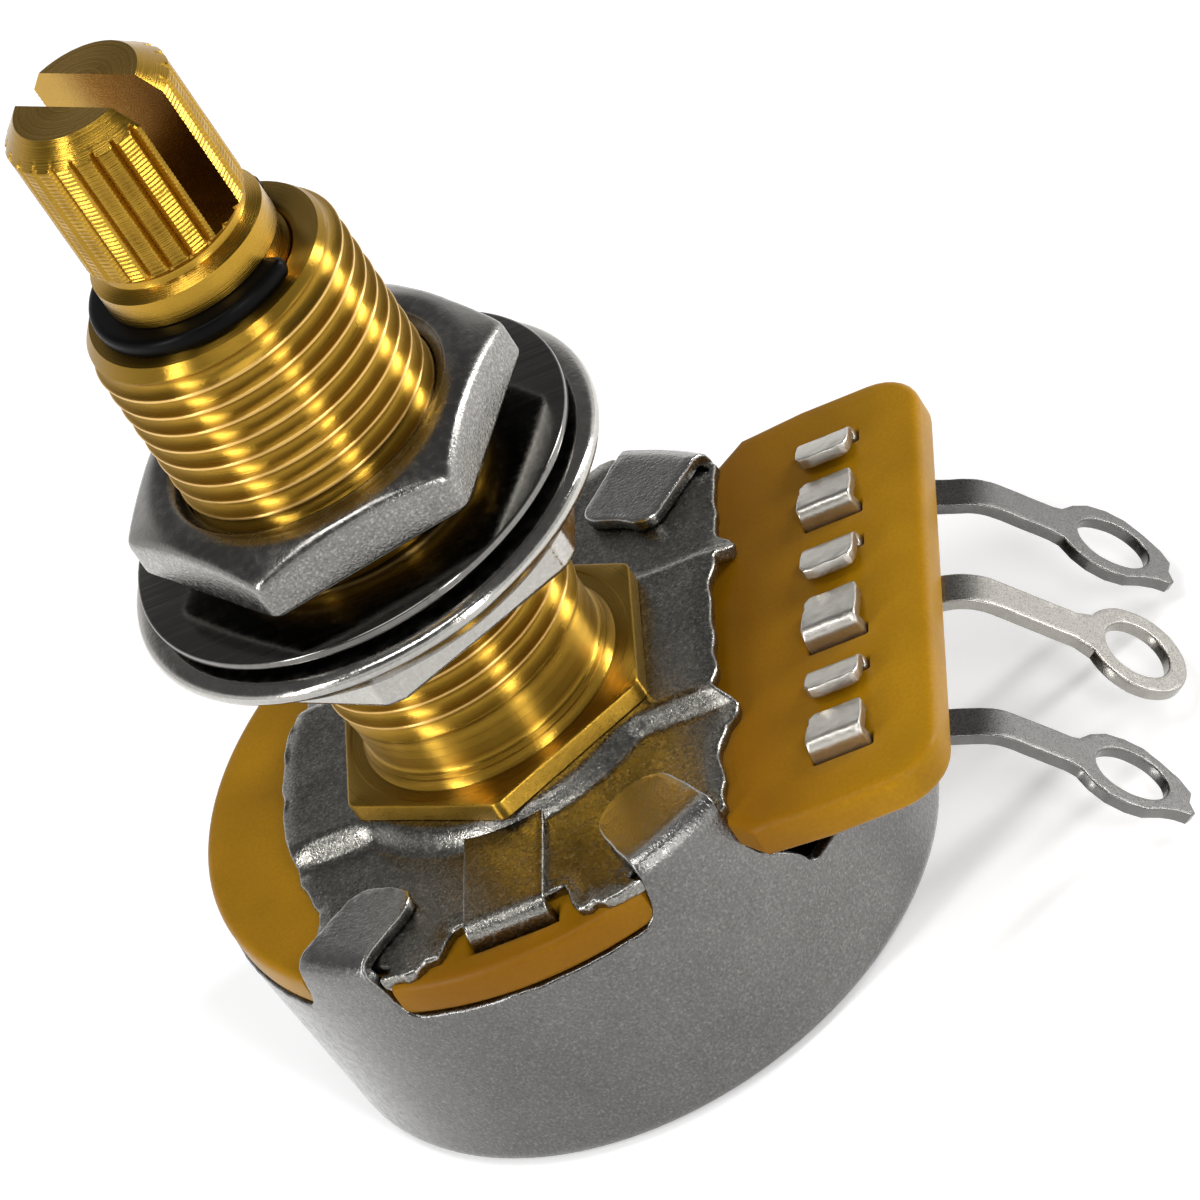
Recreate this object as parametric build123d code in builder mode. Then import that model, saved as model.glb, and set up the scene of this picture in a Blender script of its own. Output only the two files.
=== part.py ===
from build123d import *
from math import asin, cos, degrees, pi, radians, sin, sqrt
import os

os.makedirs("parts", exist_ok=True)

# A rotary potentiometer with a long threaded bushing and a split knurled shaft.
# Millimetres. Origin: centre of the cover's flat back. +Z: to the shaft's tip. +X: to the terminals.

# Cover, a drawn steel cup with fold-over tabs
cover_radius = 12.15
cover_taper = 0.49
cover_height = 8.4
cover_sheet = 0.5
cover_back_round = 0.8
window_half_width = 7.75
window_height = 2.2
window_corner = 0.8
tab_width = 3.6
tab_angle = 57.5
tab_reach = 3.75
tab_tip_round = 1.1
tab_bend = 0.65
tab_clearance = 0.05

# Terminal board, a round laminate with a square nose
board_thickness = 1.4
board_inset = 0.08
board_reach = 15.65
board_half_width = 10.45
board_nose_inset = 0.95
board_neck_inset = 4.35
board_neck_half_inset = 2.95
board_shoulder_inset = 3.3
board_shoulder_half_inset = 1.95
board_corner = 1.9
board_edge_round = 0.3
board_hole_radius = 5.2

# Terminals: sheet lugs under the board, clinched with two prongs each
lug_sheet = 0.45
lug_width = 1.4
lug_pitch = 6.0
lug_start_x = 10.9
lug_bend = 0.7
lug_slope_angle = 55.0
end_lug_bend_x = 13.6
end_lug_first_angle = 24.5
end_lug_knee_x = 16.7
end_lug_length = 5.16
end_eye_half_width = 1.65
end_eye_tip = 2.4
end_eye_tip_round = 0.35
end_eye_hole_half_length = 1.4
end_eye_hole_half_width = 1.05
wiper_lug_knee_x = 16.32
wiper_lug_length = 6.83
wiper_eye_radius = 1.95
wiper_eye_hole_radius = 1.25
prong_start_x = 11.2
prong_width = 2.1
prong_bend = 0.3
prong_meet_gap = 0.25
end_prong_root = 1.9
wiper_prong_root = 2.3
prong_slot_clearance = 0.12
prong_slot_extra_length = 0.3

# Track, its silvered ends and the collector ring, all under the board
track_inset = 3.4
track_width = 1.5
track_sheet = 0.1
pad_half_angle = 4.0
pad_arm_half_width = 0.7
collector_width = 1.3
collector_sheet = 0.3
collector_arm_width = 1.4

# Front plate, formed sheet with a raised band and boss
plate_sheet = 0.55
plate_rise = 0.59
plate_inset = 0.1
plate_right = 8.1
plate_left = 8.5
plate_left_corner = 7.25
plate_bump = 0.7
plate_bump_half = 0.8
band_half_width = 3.8
band_wall = 0.5
boss_radius = 6.2
crease_round = 0.2
tongue_half_width = 1.5
tongue_rise = 0.25
tongue_inset = 1.95
tongue_drop = 3.7
tongue_bend = 0.4
tongue_notch_half_width = 2.1
tongue_notch_flare = 0.5
tongue_notch_inset = 2.25
tongue_slot_clearance = 0.1

# Bushing, riveted into the boss
bushing_hex_corner_radius = 6.4
bushing_hex_height = 0.74
bushing_hex_angle = 32.8
bushing_length = 20.7
relief_radius = 4.57
relief_flare_radius = 4.7
relief_flare_height = 0.5
relief_top = 3.06
thread_radius = 4.7625
bushing_tip_radius = 4.28
bushing_tip_chamfer = 0.66
spigot_radius = 4.2
rivet_radius = 5.0
rivet_height = 0.49
rivet_fit = 0.02

# Shaft with collar, neck, knurl and screwdriver slot
journal_radius = 3.2
journal_clearance = 0.04
collar_height = 1.1
collar_cone = 0.25
neck_height = 0.77
neck_radius = 2.7
knurl_teeth = 24
knurl_radius = 3.03
knurl_depth = 0.26
knurl_length = 5.05
knurl_land = 0.16
tip_radius = 2.3
tip_height = 0.77
slot_width = 1.5
slot_angle = 147.2
slot_floor = 0.05
tenon_radius = 2.6
tenon_flats = 4.2
tenon_head_radius = 3.1
tenon_head_height = 0.5
tenon_shoulder = 1.3

# Retaining ring in the shaft's groove
ring_clearance = 0.04
ring_thickness = 0.7
ring_radius = 3.95
ring_round = 0.22
groove_radius = 2.8
ring_gap_middle = 12.0
ring_gap_half = 38.0

# Rotor, thrust washer and wiper spring inside the cover
thrust_clearance = 0.04
thrust_washer_thickness = 0.36
thrust_washer_radius = 4.5
rotor_hub_radius = 4.7
rotor_depth = 2.6
rotor_thickness = 1.6
rotor_disc_inset = 1.1
rotor_edge_round = 0.3
turn_each_way = 150.0
stop_arm_clearance = 0.65
stop_clearance_angle = 0.5
spring_sheet = 0.2
spring_ring_width = 1.2
finger_width = 0.9
finger_root = 3.7
finger_foot = 0.9
finger_tip_half = 0.45
finger_tip_drop = 0.14
contact_clearance = 0.03
spring_hub_clearance = 0.02

# Flange nut, dress washer and front nut on the thread
nut_thread_clearance = 0.04
flange_nut_rise = 6.96
flange_nut_flats = 13.3
flange_nut_corner_radius = 7.47
flange_nut_hex_height = 1.2
flange_nut_angle = 30.0
flange_under_radius = 7.5
flange_rim_radius = 8.77
flange_rim_height = 2.53
flange_rim_round = 0.3
flange_top_radius = 8.3
flange_height = 2.95
flange_seat_radius = 6.2
flange_seat_height = 0.41
washer_seat_clearance = 0.02
washer_radius = 8.11
washer_thickness = 0.33
washer_hole_radius = 4.95
washer_edge = 0.06
front_nut_gap = 1.0
front_nut_flats = 12.7
front_nut_height = 2.19
front_nut_corner_height = 1.5
front_nut_top_radius = 5.9
front_nut_angle = 14.6
nut_countersink = 0.35

# Levels up the part
board_bottom = cover_height
board_top = board_bottom + board_thickness
plate_low_top = board_top + plate_sheet
plate_under = board_top + plate_rise
plate_top = plate_under + plate_sheet
tab_top = plate_low_top + cover_sheet
rivet_bottom = plate_under - rivet_height
bushing_top = plate_top + bushing_length
ring_bottom = bushing_top + ring_clearance
ring_top = ring_bottom + ring_thickness
collar_top = ring_top + collar_height
knurl_bottom = collar_top + neck_height
knurl_top = knurl_bottom + knurl_length
shaft_top = knurl_top + tip_height
thrust_top = rivet_bottom - thrust_clearance
hub_top = thrust_top - thrust_washer_thickness
rotor_top = hub_top - rotor_depth
rotor_bottom = rotor_top - rotor_thickness
shoulder_level = hub_top - tenon_shoulder
flange_nut_bottom = plate_top + flange_nut_rise
flange_top = flange_nut_bottom + flange_height
seat_top = flange_top + flange_seat_height
washer_bottom = seat_top + washer_seat_clearance
washer_top = washer_bottom + washer_thickness
front_nut_bottom = washer_top + front_nut_gap
front_nut_top = front_nut_bottom + front_nut_height

# Sizes shared by pieces that meet
cover_inner_radius = cover_radius - cover_sheet
cover_back_radius = cover_radius - cover_taper
board_radius = cover_radius - board_inset
plate_radius = cover_radius - plate_inset
board_nose_start = cover_radius - board_nose_inset
board_neck = (cover_radius - board_neck_inset, cover_radius - board_neck_half_inset)
board_shoulder = (cover_radius - board_shoulder_inset, cover_radius - board_shoulder_half_inset)
tab_inner_flat = sqrt(cover_inner_radius**2 - (tab_width / 2) ** 2) - tab_clearance
bore_radius = journal_radius + journal_clearance
nut_bore_radius = thread_radius + nut_thread_clearance
tongue_inner_face = cover_radius - tongue_inset
tongue_outer_face = tongue_inner_face + plate_sheet
tongue_notch_depth = cover_radius - tongue_notch_inset
track_radius = cover_radius - track_inset
collector_radius = (board_hole_radius + track_radius - track_width / 2) / 2
stop_arm_radius = cover_inner_radius - stop_arm_clearance
rotor_radius = stop_arm_radius - rotor_disc_inset
track_end_angle = 180 - turn_each_way
tongue_half_angle = degrees(asin(tongue_half_width / tongue_inner_face))
stop_arm_half_angle = track_end_angle - tongue_half_angle - stop_clearance_angle
tab_angles = [tab_angle, 180 - tab_angle, tab_angle - 180, -tab_angle]
tab_places = [Location((0, 0, 0), (0, 0, angle)) for angle in tab_angles]


# Cover: tapered cup, terminal window, four tabs folded over the front plate
with BuildPart() as cover:
    with BuildSketch(Plane.XZ):
        with BuildLine():
            Polyline(
                (0, 0),
                (cover_back_radius, 0),
                (cover_radius, cover_height),
                (cover_inner_radius, cover_height),
                (cover_back_radius - cover_sheet, cover_sheet),
                (0, cover_sheet),
                close=True,
            )
        make_face()
        fillet(vertices().sort_by_distance((cover_back_radius, 0))[0], cover_back_round)
        inner_corner = (cover_back_radius - cover_sheet, cover_sheet)
        fillet(vertices().sort_by_distance(inner_corner)[0], cover_back_round - cover_sheet)
    revolve(axis=Axis.Z)
    with BuildSketch(Plane.YZ):
        with Locations((0, cover_height)):
            Rectangle(2 * window_half_width, 2 * window_height)
        fillet(vertices(), window_corner)
    extrude(amount=2 * cover_radius, mode=Mode.SUBTRACT)
    with BuildSketch(Plane.XY.offset(cover_height - cover_sheet)):
        with Locations(*tab_places):
            with Locations((cover_radius, 0)):
                Rectangle(4 * cover_sheet, tab_width)
        Circle(cover_radius, mode=Mode.INTERSECT)
        Circle(cover_inner_radius, mode=Mode.SUBTRACT)
    extrude(amount=tab_top - cover_height + cover_sheet)
    with BuildSketch(Plane.XY.offset(plate_low_top)):
        with Locations(*tab_places):
            with Locations((cover_radius, 0)):
                Rectangle(2 * tab_reach, tab_width)
        fillet(vertices(), tab_tip_round)
        Circle(cover_radius, mode=Mode.INTERSECT)
    extrude(amount=cover_sheet)
    fillet(
        cover.edges().group_by(Axis.Z)[-1].filter_by(GeomType.CIRCLE).group_by(SortBy.RADIUS)[-1],
        tab_bend,
    )


# Terminal board: outline with its nose, rounded edges, then every opening
with BuildPart() as terminal_board:
    with BuildSketch(Plane.XY.offset(board_bottom)):
        Circle(board_radius)
        with BuildLine():
            Polyline(
                (0, 0),
                (0, board_neck[1]),
                board_neck,
                board_shoulder,
                (board_nose_start, board_half_width),
                (board_reach, board_half_width),
                (board_reach, 0),
            )
            mirror(about=Plane.XZ)
        make_face()
        fillet(vertices().group_by(Axis.X)[-1], board_corner)
    extrude(amount=board_thickness)
    fillet(terminal_board.faces().sort_by(Axis.Z)[-1].edges(), board_edge_round)
    fillet(terminal_board.faces().sort_by(Axis.Z)[0].edges(), board_edge_round)
    with BuildSketch(Plane.XY.offset(board_bottom)):
        Circle(board_hole_radius)
        with Locations(*tab_places):
            with Locations((tab_inner_flat, 0)):
                Rectangle(cover_radius, tab_width + 4 * tab_clearance, align=(Align.MIN, Align.CENTER))
        with Locations((0, -tongue_inner_face - plate_sheet / 2)):
            Rectangle(
                2 * (tongue_half_width + tongue_slot_clearance),
                plate_sheet + 2 * tongue_slot_clearance,
            )
        slot_length = prong_width + prong_slot_extra_length
        slot_middle = prong_start_x + slot_length / 2
        for centre, root in [(-lug_pitch, end_prong_root), (0, wiper_prong_root), (lug_pitch, end_prong_root)]:
            with Locations((slot_middle, centre - root), (slot_middle, centre + root)):
                Rectangle(slot_length, lug_sheet + 2 * prong_slot_clearance)
    extrude(amount=board_thickness, mode=Mode.SUBTRACT)


# Front plate: low sheet, raised band and boss, stop tongue
with BuildSketch(Plane.XY.offset(board_top)) as plate_outline:
    with BuildLine():
        Polyline(
            (plate_right, 0),
            (plate_right, -band_half_width + plate_bump_half / 2),
            (plate_right + plate_bump, -band_half_width - plate_bump_half / 2),
            (plate_right, -band_half_width - plate_bump_half * 1.5),
            (plate_right, -plate_radius),
            (-plate_left_corner, -plate_radius),
            (-plate_left_corner, -boss_radius),
            (-plate_left + band_wall, -band_half_width - plate_bump_half),
            (-plate_left + band_wall, -band_half_width),
            (-plate_left, -band_half_width / 2),
            (-plate_left, 0),
        )
        mirror(about=Plane.XZ)
    make_face()
    Circle(plate_radius, mode=Mode.INTERSECT)
    with Locations(*tab_places):
        with Locations((tab_inner_flat, 0)):
            Rectangle(
                cover_radius,
                tab_width + 4 * tab_clearance,
                align=(Align.MIN, Align.CENTER),
                mode=Mode.SUBTRACT,
            )
    with BuildLine():
        Polyline(
            (-tongue_notch_half_width, -tongue_notch_depth),
            (-tongue_notch_half_width - tongue_notch_flare, -cover_radius),
            (tongue_notch_half_width + tongue_notch_flare, -cover_radius),
            (tongue_notch_half_width, -tongue_notch_depth),
            close=True,
        )
    make_face(mode=Mode.SUBTRACT)

with BuildPart() as front_plate:
    with BuildSketch(Plane.XY.offset(board_top)):
        add(plate_outline.sketch)
    extrude(amount=plate_sheet)
    with BuildSketch(Plane.XY.offset(board_top)):
        Circle(boss_radius)
        Rectangle(4 * plate_radius, 2 * band_half_width)
        add(plate_outline.sketch, mode=Mode.INTERSECT)
    extrude(amount=plate_rise + plate_sheet)
    fillet(
        front_plate.faces().sort_by(Axis.Z)[-1].edges().filter_by(
            lambda edge: abs(edge.center().X) < plate_right - plate_bump_half
        ),
        crease_round,
    )
    with BuildSketch(Plane.XY.offset(board_top)):
        Circle(boss_radius - band_wall)
        Rectangle(4 * plate_radius, 2 * (band_half_width - band_wall))
    extrude(amount=plate_rise, mode=Mode.SUBTRACT)
    tongue_root = boss_radius - band_wall / 2
    with BuildSketch(Plane.XY.offset(board_top)):
        with Locations((0, -tongue_root)):
            Rectangle(
                2 * tongue_half_width,
                tongue_inner_face - tongue_root,
                align=(Align.CENTER, Align.MAX),
            )
    extrude(amount=tongue_rise, mode=Mode.SUBTRACT)
    with BuildSketch(Plane.XY.offset(board_top + tongue_rise)):
        with Locations((0, -tongue_root)):
            Rectangle(
                2 * tongue_half_width,
                tongue_outer_face - tongue_root,
                align=(Align.CENTER, Align.MAX),
            )
    extrude(amount=plate_sheet)
    with BuildSketch(Plane.XY.offset(board_top + tongue_rise)):
        with Locations((0, -tongue_inner_face)):
            Rectangle(2 * tongue_half_width, plate_sheet, align=(Align.CENTER, Align.MAX))
    extrude(amount=-tongue_drop - tongue_rise)
    fillet(
        front_plate.edges().filter_by(Axis.X).filter_by_position(
            Axis.Z, plate_low_top + tongue_rise - rivet_fit, plate_low_top + tongue_rise + rivet_fit
        ).sort_by(Axis.Y)[0],
        tongue_bend,
    )
    with BuildSketch(Plane.XY.offset(board_top)):
        Circle(spigot_radius + rivet_fit)
    extrude(amount=plate_top - board_top, mode=Mode.SUBTRACT)


# Bushing: one turned body of revolution on a hexagon foot
with BuildPart() as bushing:
    with BuildSketch(Plane.XY.offset(plate_top)):
        RegularPolygon(bushing_hex_corner_radius, 6, rotation=bushing_hex_angle)
    extrude(amount=bushing_hex_height)
    with BuildSketch(Plane.XZ):
        with BuildLine():
            Polyline(
                (0, rivet_bottom),
                (rivet_radius, rivet_bottom),
                (rivet_radius, plate_under),
                (spigot_radius, plate_under),
                (spigot_radius, plate_top),
                (relief_flare_radius, plate_top),
                (relief_flare_radius, plate_top + bushing_hex_height + relief_flare_height),
                (relief_radius, plate_top + bushing_hex_height + 2 * relief_flare_height),
                (relief_radius, plate_top + relief_top - (thread_radius - relief_radius)),
                (thread_radius, plate_top + relief_top),
                (thread_radius, bushing_top - bushing_tip_chamfer),
                (bushing_tip_radius, bushing_top),
                (0, bushing_top),
                close=True,
            )
        make_face()
    revolve(axis=Axis.Z)
    with BuildSketch(Plane.XY.offset(rivet_bottom)):
        Circle(bore_radius)
    extrude(amount=bushing_top - rivet_bottom, mode=Mode.SUBTRACT)
    chamfer(bushing.edges().group_by(Axis.Z)[-1].group_by(SortBy.RADIUS)[0], journal_clearance * 3)


# Terminals: one stamping each, and two eye shapes
with BuildSketch() as wiper_eye:
    Circle(wiper_eye_radius)
with BuildSketch() as wiper_eye_hole:
    Circle(wiper_eye_hole_radius)
with BuildSketch() as end_eye:
    Circle(end_eye_half_width)
    with Locations((end_eye_tip - end_eye_tip_round, 0)):
        Circle(end_eye_tip_round)
    make_hull()
with BuildSketch() as end_eye_hole:
    Ellipse(end_eye_hole_half_length, end_eye_hole_half_width)

lug_middle = board_bottom - lug_sheet / 2


def slope_end(start, angle, length):
    """Point at the end of a straight run that falls by an angle."""
    fall = radians(angle)
    return (start[0] + length * cos(fall), start[1] - length * sin(fall))


def make_lug(centre, root, path, eye, eye_hole):
    """Terminal along a bent path in X and Z, with its base, two prongs and an eye."""
    foot = Vector(*path[-2])
    tip = Vector(*path[-1])
    along = (tip - foot).normalized()
    eye_plane = Plane(
        origin=(tip.X, centre, tip.Y),
        x_dir=(along.X, 0, along.Y),
        z_dir=(-along.Y, 0, along.X),
    )
    with BuildPart() as lug:
        with BuildSketch(Plane.XZ.offset(-centre)):
            with BuildLine():
                FilletPolyline(*path, radius=lug_bend)
            trace(line_width=lug_sheet)
        extrude(amount=lug_width / 2, both=True)
        with BuildSketch(eye_plane.offset(-lug_sheet / 2)):
            add(eye.sketch)
        extrude(amount=lug_sheet)
        with BuildSketch(eye_plane.offset(-lug_sheet)):
            add(eye_hole.sketch)
        extrude(amount=2 * lug_sheet, mode=Mode.SUBTRACT)
        with BuildSketch(Plane.XY.offset(board_bottom - lug_sheet)):
            with Locations((lug_start_x, centre)):
                Rectangle(
                    prong_start_x + prong_width - lug_start_x,
                    2 * root + lug_sheet,
                    align=(Align.MIN, Align.CENTER),
                )
        extrude(amount=lug_sheet)
        for side in (-1, 1):
            with BuildSketch(Plane.YZ.offset(prong_start_x)):
                with BuildLine():
                    FilletPolyline(
                        (centre + side * root, lug_middle),
                        (centre + side * root, board_top + lug_sheet / 2),
                        (centre + side * prong_meet_gap / 2, board_top + lug_sheet / 2),
                        radius=prong_bend,
                    )
                trace(line_width=lug_sheet)
            extrude(amount=prong_width)
    return lug


wiper_knee = (wiper_lug_knee_x, lug_middle)
wiper_path = [(lug_start_x, lug_middle), wiper_knee, slope_end(wiper_knee, lug_slope_angle, wiper_lug_length)]
end_bend = (end_lug_bend_x, lug_middle)
end_first_run = (end_lug_knee_x - end_lug_bend_x) / cos(radians(end_lug_first_angle))
end_knee = slope_end(end_bend, end_lug_first_angle, end_first_run)
end_path = [(lug_start_x, lug_middle), end_bend, end_knee, slope_end(end_knee, lug_slope_angle, end_lug_length)]

lug_start = make_lug(-lug_pitch, end_prong_root, end_path, end_eye, end_eye_hole)
lug_wiper = make_lug(0, wiper_prong_root, wiper_path, wiper_eye, wiper_eye_hole)
lug_end = make_lug(lug_pitch, end_prong_root, end_path, end_eye, end_eye_hole)


# Resistance track: the arc that the wiper sweeps
with BuildPart() as resistance_track:
    with BuildSketch(Plane.XY.offset(board_bottom - track_sheet)):
        with BuildLine():
            CenterArc((0, 0), track_radius, track_end_angle, 2 * turn_each_way)
        trace(line_width=track_width)
    extrude(amount=track_sheet)


def make_pad(side):
    """Silvered end of the track with its arm out to the terminal."""
    arm_start = track_radius * cos(radians(track_end_angle))
    arm_middle = track_radius * sin(radians(track_end_angle))
    with BuildPart() as pad:
        with BuildSketch(Plane.XY.offset(board_bottom - track_sheet)):
            with BuildLine():
                CenterArc(
                    (0, 0), track_radius, side * track_end_angle, -side * 2 * pad_half_angle
                )
            trace(line_width=track_width)
            with Locations((lug_start_x, side * (arm_middle - pad_arm_half_width / 2))):
                Rectangle(
                    lug_start_x - arm_start,
                    2 * pad_arm_half_width,
                    align=(Align.MAX, Align.CENTER),
                )
            Circle(track_radius - track_width / 2, mode=Mode.SUBTRACT)
            with BuildLine():
                CenterArc((0, 0), track_radius, track_end_angle, 2 * turn_each_way)
            trace(line_width=track_width, mode=Mode.SUBTRACT)
        extrude(amount=track_sheet)
    return pad


pad_start = make_pad(-1)
pad_end = make_pad(1)


# Collector ring: plated ring with an arm to the middle terminal
with BuildPart() as collector_ring:
    with BuildSketch(Plane.XY.offset(board_bottom - collector_sheet)):
        Circle(collector_radius + collector_width / 2)
        Rectangle(lug_start_x, collector_arm_width, align=(Align.MIN, Align.CENTER))
        Circle(collector_radius - collector_width / 2, mode=Mode.SUBTRACT)
    extrude(amount=collector_sheet)


# Shaft: turned profile, then ring groove, knurl, slot and tenon flats
with BuildPart() as shaft:
    with BuildSketch(Plane.XZ):
        with BuildLine():
            Polyline(
                (0, shaft_top),
                (0, shoulder_level),
                (journal_radius, shoulder_level),
                (journal_radius, ring_bottom),
                (groove_radius, ring_bottom),
                (groove_radius, ring_top),
                (journal_radius, ring_top),
                (journal_radius, collar_top),
                (neck_radius + collar_cone, collar_top + collar_cone / 2),
            )
            ThreePointArc(
                (neck_radius + collar_cone, collar_top + collar_cone / 2),
                (neck_radius, collar_top + neck_height / 2 + collar_cone / 4),
                (knurl_radius, knurl_bottom),
            )
            Polyline(
                (knurl_radius, knurl_bottom),
                (knurl_radius, knurl_top),
                (tip_radius, shaft_top),
                (0, shaft_top),
            )
        make_face()
    revolve(axis=Axis.Z)
    tooth_pitch = 2 * pi * knurl_radius / knurl_teeth
    with BuildSketch(Plane.XY.offset(knurl_bottom - collar_cone)):
        with PolarLocations(0, knurl_teeth):
            Polygon(
                (knurl_radius - knurl_depth, 0),
                (knurl_radius + knurl_depth, tooth_pitch - knurl_land),
                (knurl_radius + knurl_depth, knurl_land - tooth_pitch),
                align=None,
            )
    extrude(amount=shaft_top - knurl_bottom + collar_cone, mode=Mode.SUBTRACT)
    with BuildSketch(Plane.XY.offset(knurl_bottom + slot_floor)):
        Rectangle(3 * knurl_radius, slot_width, rotation=slot_angle)
    extrude(amount=shaft_top - knurl_bottom - slot_floor, mode=Mode.SUBTRACT)
    with BuildSketch(Plane.XY.offset(rotor_bottom)):
        Circle(tenon_radius)
        Rectangle(2 * tenon_radius, tenon_flats, mode=Mode.INTERSECT)
    extrude(amount=shoulder_level - rotor_bottom)
    with BuildSketch(Plane.XY.offset(rotor_bottom)):
        Circle(tenon_head_radius)
    extrude(amount=-tenon_head_height, taper=30)


# Retaining ring: round-edged open ring snapped into the groove
with BuildPart() as retaining_ring:
    with BuildSketch(Plane.XZ):
        with Locations(((groove_radius + ring_radius) / 2, (ring_bottom + ring_top) / 2)):
            RectangleRounded(ring_radius - groove_radius, ring_thickness, ring_round)
    revolve(axis=Axis.Z)
    with BuildSketch(Plane.XY.offset(ring_bottom)):
        with BuildLine():
            Polyline(
                (0, 0),
                (3 * ring_radius * cos(radians(ring_gap_middle - ring_gap_half)),
                 3 * ring_radius * sin(radians(ring_gap_middle - ring_gap_half))),
                (3 * ring_radius * cos(radians(ring_gap_middle + ring_gap_half)),
                 3 * ring_radius * sin(radians(ring_gap_middle + ring_gap_half))),
                close=True,
            )
        make_face()
    extrude(amount=ring_thickness, mode=Mode.SUBTRACT)


# Rotor: disc with the stop arm, and a hub that reaches up through the board
with BuildPart() as rotor:
    with BuildSketch(Plane.XY.offset(rotor_bottom)):
        Circle(stop_arm_radius)
        with BuildLine():
            Polyline(
                (0, 0),
                (3 * stop_arm_radius * sin(radians(stop_arm_half_angle)),
                 3 * stop_arm_radius * cos(radians(stop_arm_half_angle))),
                (-3 * stop_arm_radius * sin(radians(stop_arm_half_angle)),
                 3 * stop_arm_radius * cos(radians(stop_arm_half_angle))),
                close=True,
            )
        make_face(mode=Mode.INTERSECT)
        Circle(rotor_radius)
    extrude(amount=rotor_thickness)
    fillet(rotor.faces().sort_by(Axis.Z)[0].edges(), rotor_edge_round)
    with BuildSketch(Plane.XY.offset(rotor_top)):
        Circle(rotor_hub_radius)
    extrude(amount=hub_top - rotor_top)
    with BuildSketch(Plane.XY.offset(shoulder_level)):
        Circle(journal_radius + rivet_fit)
    extrude(amount=hub_top - shoulder_level, mode=Mode.SUBTRACT)
    with BuildSketch(Plane.XY.offset(rotor_bottom)):
        Circle(tenon_radius + rivet_fit)
        Rectangle(
            2 * (tenon_radius + rivet_fit), tenon_flats + 2 * rivet_fit, mode=Mode.INTERSECT
        )
    extrude(amount=shoulder_level - rotor_bottom, mode=Mode.SUBTRACT)


# Thrust washer between the rotor's hub and the bushing
with BuildPart() as thrust_washer:
    with BuildSketch(Plane.XY.offset(hub_top)):
        Circle(thrust_washer_radius)
        Circle(journal_radius + journal_clearance, mode=Mode.SUBTRACT)
    extrude(amount=thrust_washer_thickness)


# Wiper spring: ring round the hub with two raised fingers on the far side from the terminals
with BuildPart() as wiper_spring:
    spring_inner = rotor_hub_radius + spring_hub_clearance
    with BuildSketch(Plane.XY.offset(rotor_top)):
        Circle(spring_inner + spring_ring_width)
        with Locations((0, finger_root)):
            Rectangle(
                track_radius + finger_width / 2, finger_foot, align=(Align.MAX, Align.MAX)
            )
        Circle(spring_inner, mode=Mode.SUBTRACT)
    extrude(amount=spring_sheet)
    contacts = [(track_radius, track_sheet), (collector_radius, collector_sheet)]
    for radius, sheet in contacts:
        foot_level = rotor_top + spring_sheet / 2
        tip_level = board_bottom - sheet - contact_clearance - spring_sheet / 2
        with BuildSketch(Plane.YZ.offset(-radius)):
            with BuildLine():
                Polyline(
                    (finger_root, foot_level),
                    (finger_root - finger_foot, foot_level),
                    (finger_tip_half, tip_level - finger_tip_drop),
                )
                ThreePointArc(
                    (finger_tip_half, tip_level - finger_tip_drop),
                    (0, tip_level),
                    (-finger_tip_half, tip_level - finger_tip_drop),
                )
            trace(line_width=spring_sheet)
        extrude(amount=finger_width / 2, both=True)


# Flange nut: hexagon with rounded corners under a domed flange, raised seat on top
with BuildPart() as flange_nut:
    with BuildSketch(Plane.XY.offset(flange_nut_bottom)):
        RegularPolygon(flange_nut_flats / 2, 6, major_radius=False, rotation=flange_nut_angle)
        Circle(flange_nut_corner_radius, mode=Mode.INTERSECT)
    extrude(amount=flange_height)
    with BuildSketch(Plane.XZ):
        with BuildLine():
            Polyline(
                (0, flange_nut_bottom + flange_nut_hex_height),
                (flange_under_radius, flange_nut_bottom + flange_nut_hex_height),
                (flange_rim_radius - flange_rim_round, flange_nut_bottom + flange_rim_height - flange_rim_round),
            )
            ThreePointArc(
                (flange_rim_radius - flange_rim_round, flange_nut_bottom + flange_rim_height - flange_rim_round),
                (flange_rim_radius, flange_nut_bottom + flange_rim_height),
                (flange_top_radius, flange_top),
            )
            Polyline(
                (flange_top_radius, flange_top),
                (flange_seat_radius, flange_top),
                (flange_seat_radius, seat_top),
                (0, seat_top),
                (0, flange_nut_bottom + flange_nut_hex_height),
            )
        make_face()
    revolve(axis=Axis.Z)
    with BuildSketch(Plane.XY.offset(flange_nut_bottom)):
        Circle(nut_bore_radius)
    extrude(amount=seat_top - flange_nut_bottom, mode=Mode.SUBTRACT)
    chamfer(
        flange_nut.edges().group_by(Axis.Z)[0].filter_by(GeomType.CIRCLE).group_by(SortBy.RADIUS)[0],
        nut_countersink,
    )


# Dress washer: thin flat ring with broken edges
with BuildPart() as dress_washer:
    with BuildSketch(Plane.XY.offset(washer_bottom)):
        Circle(washer_radius)
        Circle(washer_hole_radius, mode=Mode.SUBTRACT)
    extrude(amount=washer_thickness)
    chamfer(dress_washer.edges().filter_by(GeomType.CIRCLE).group_by(SortBy.RADIUS)[-1], washer_edge)


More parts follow.
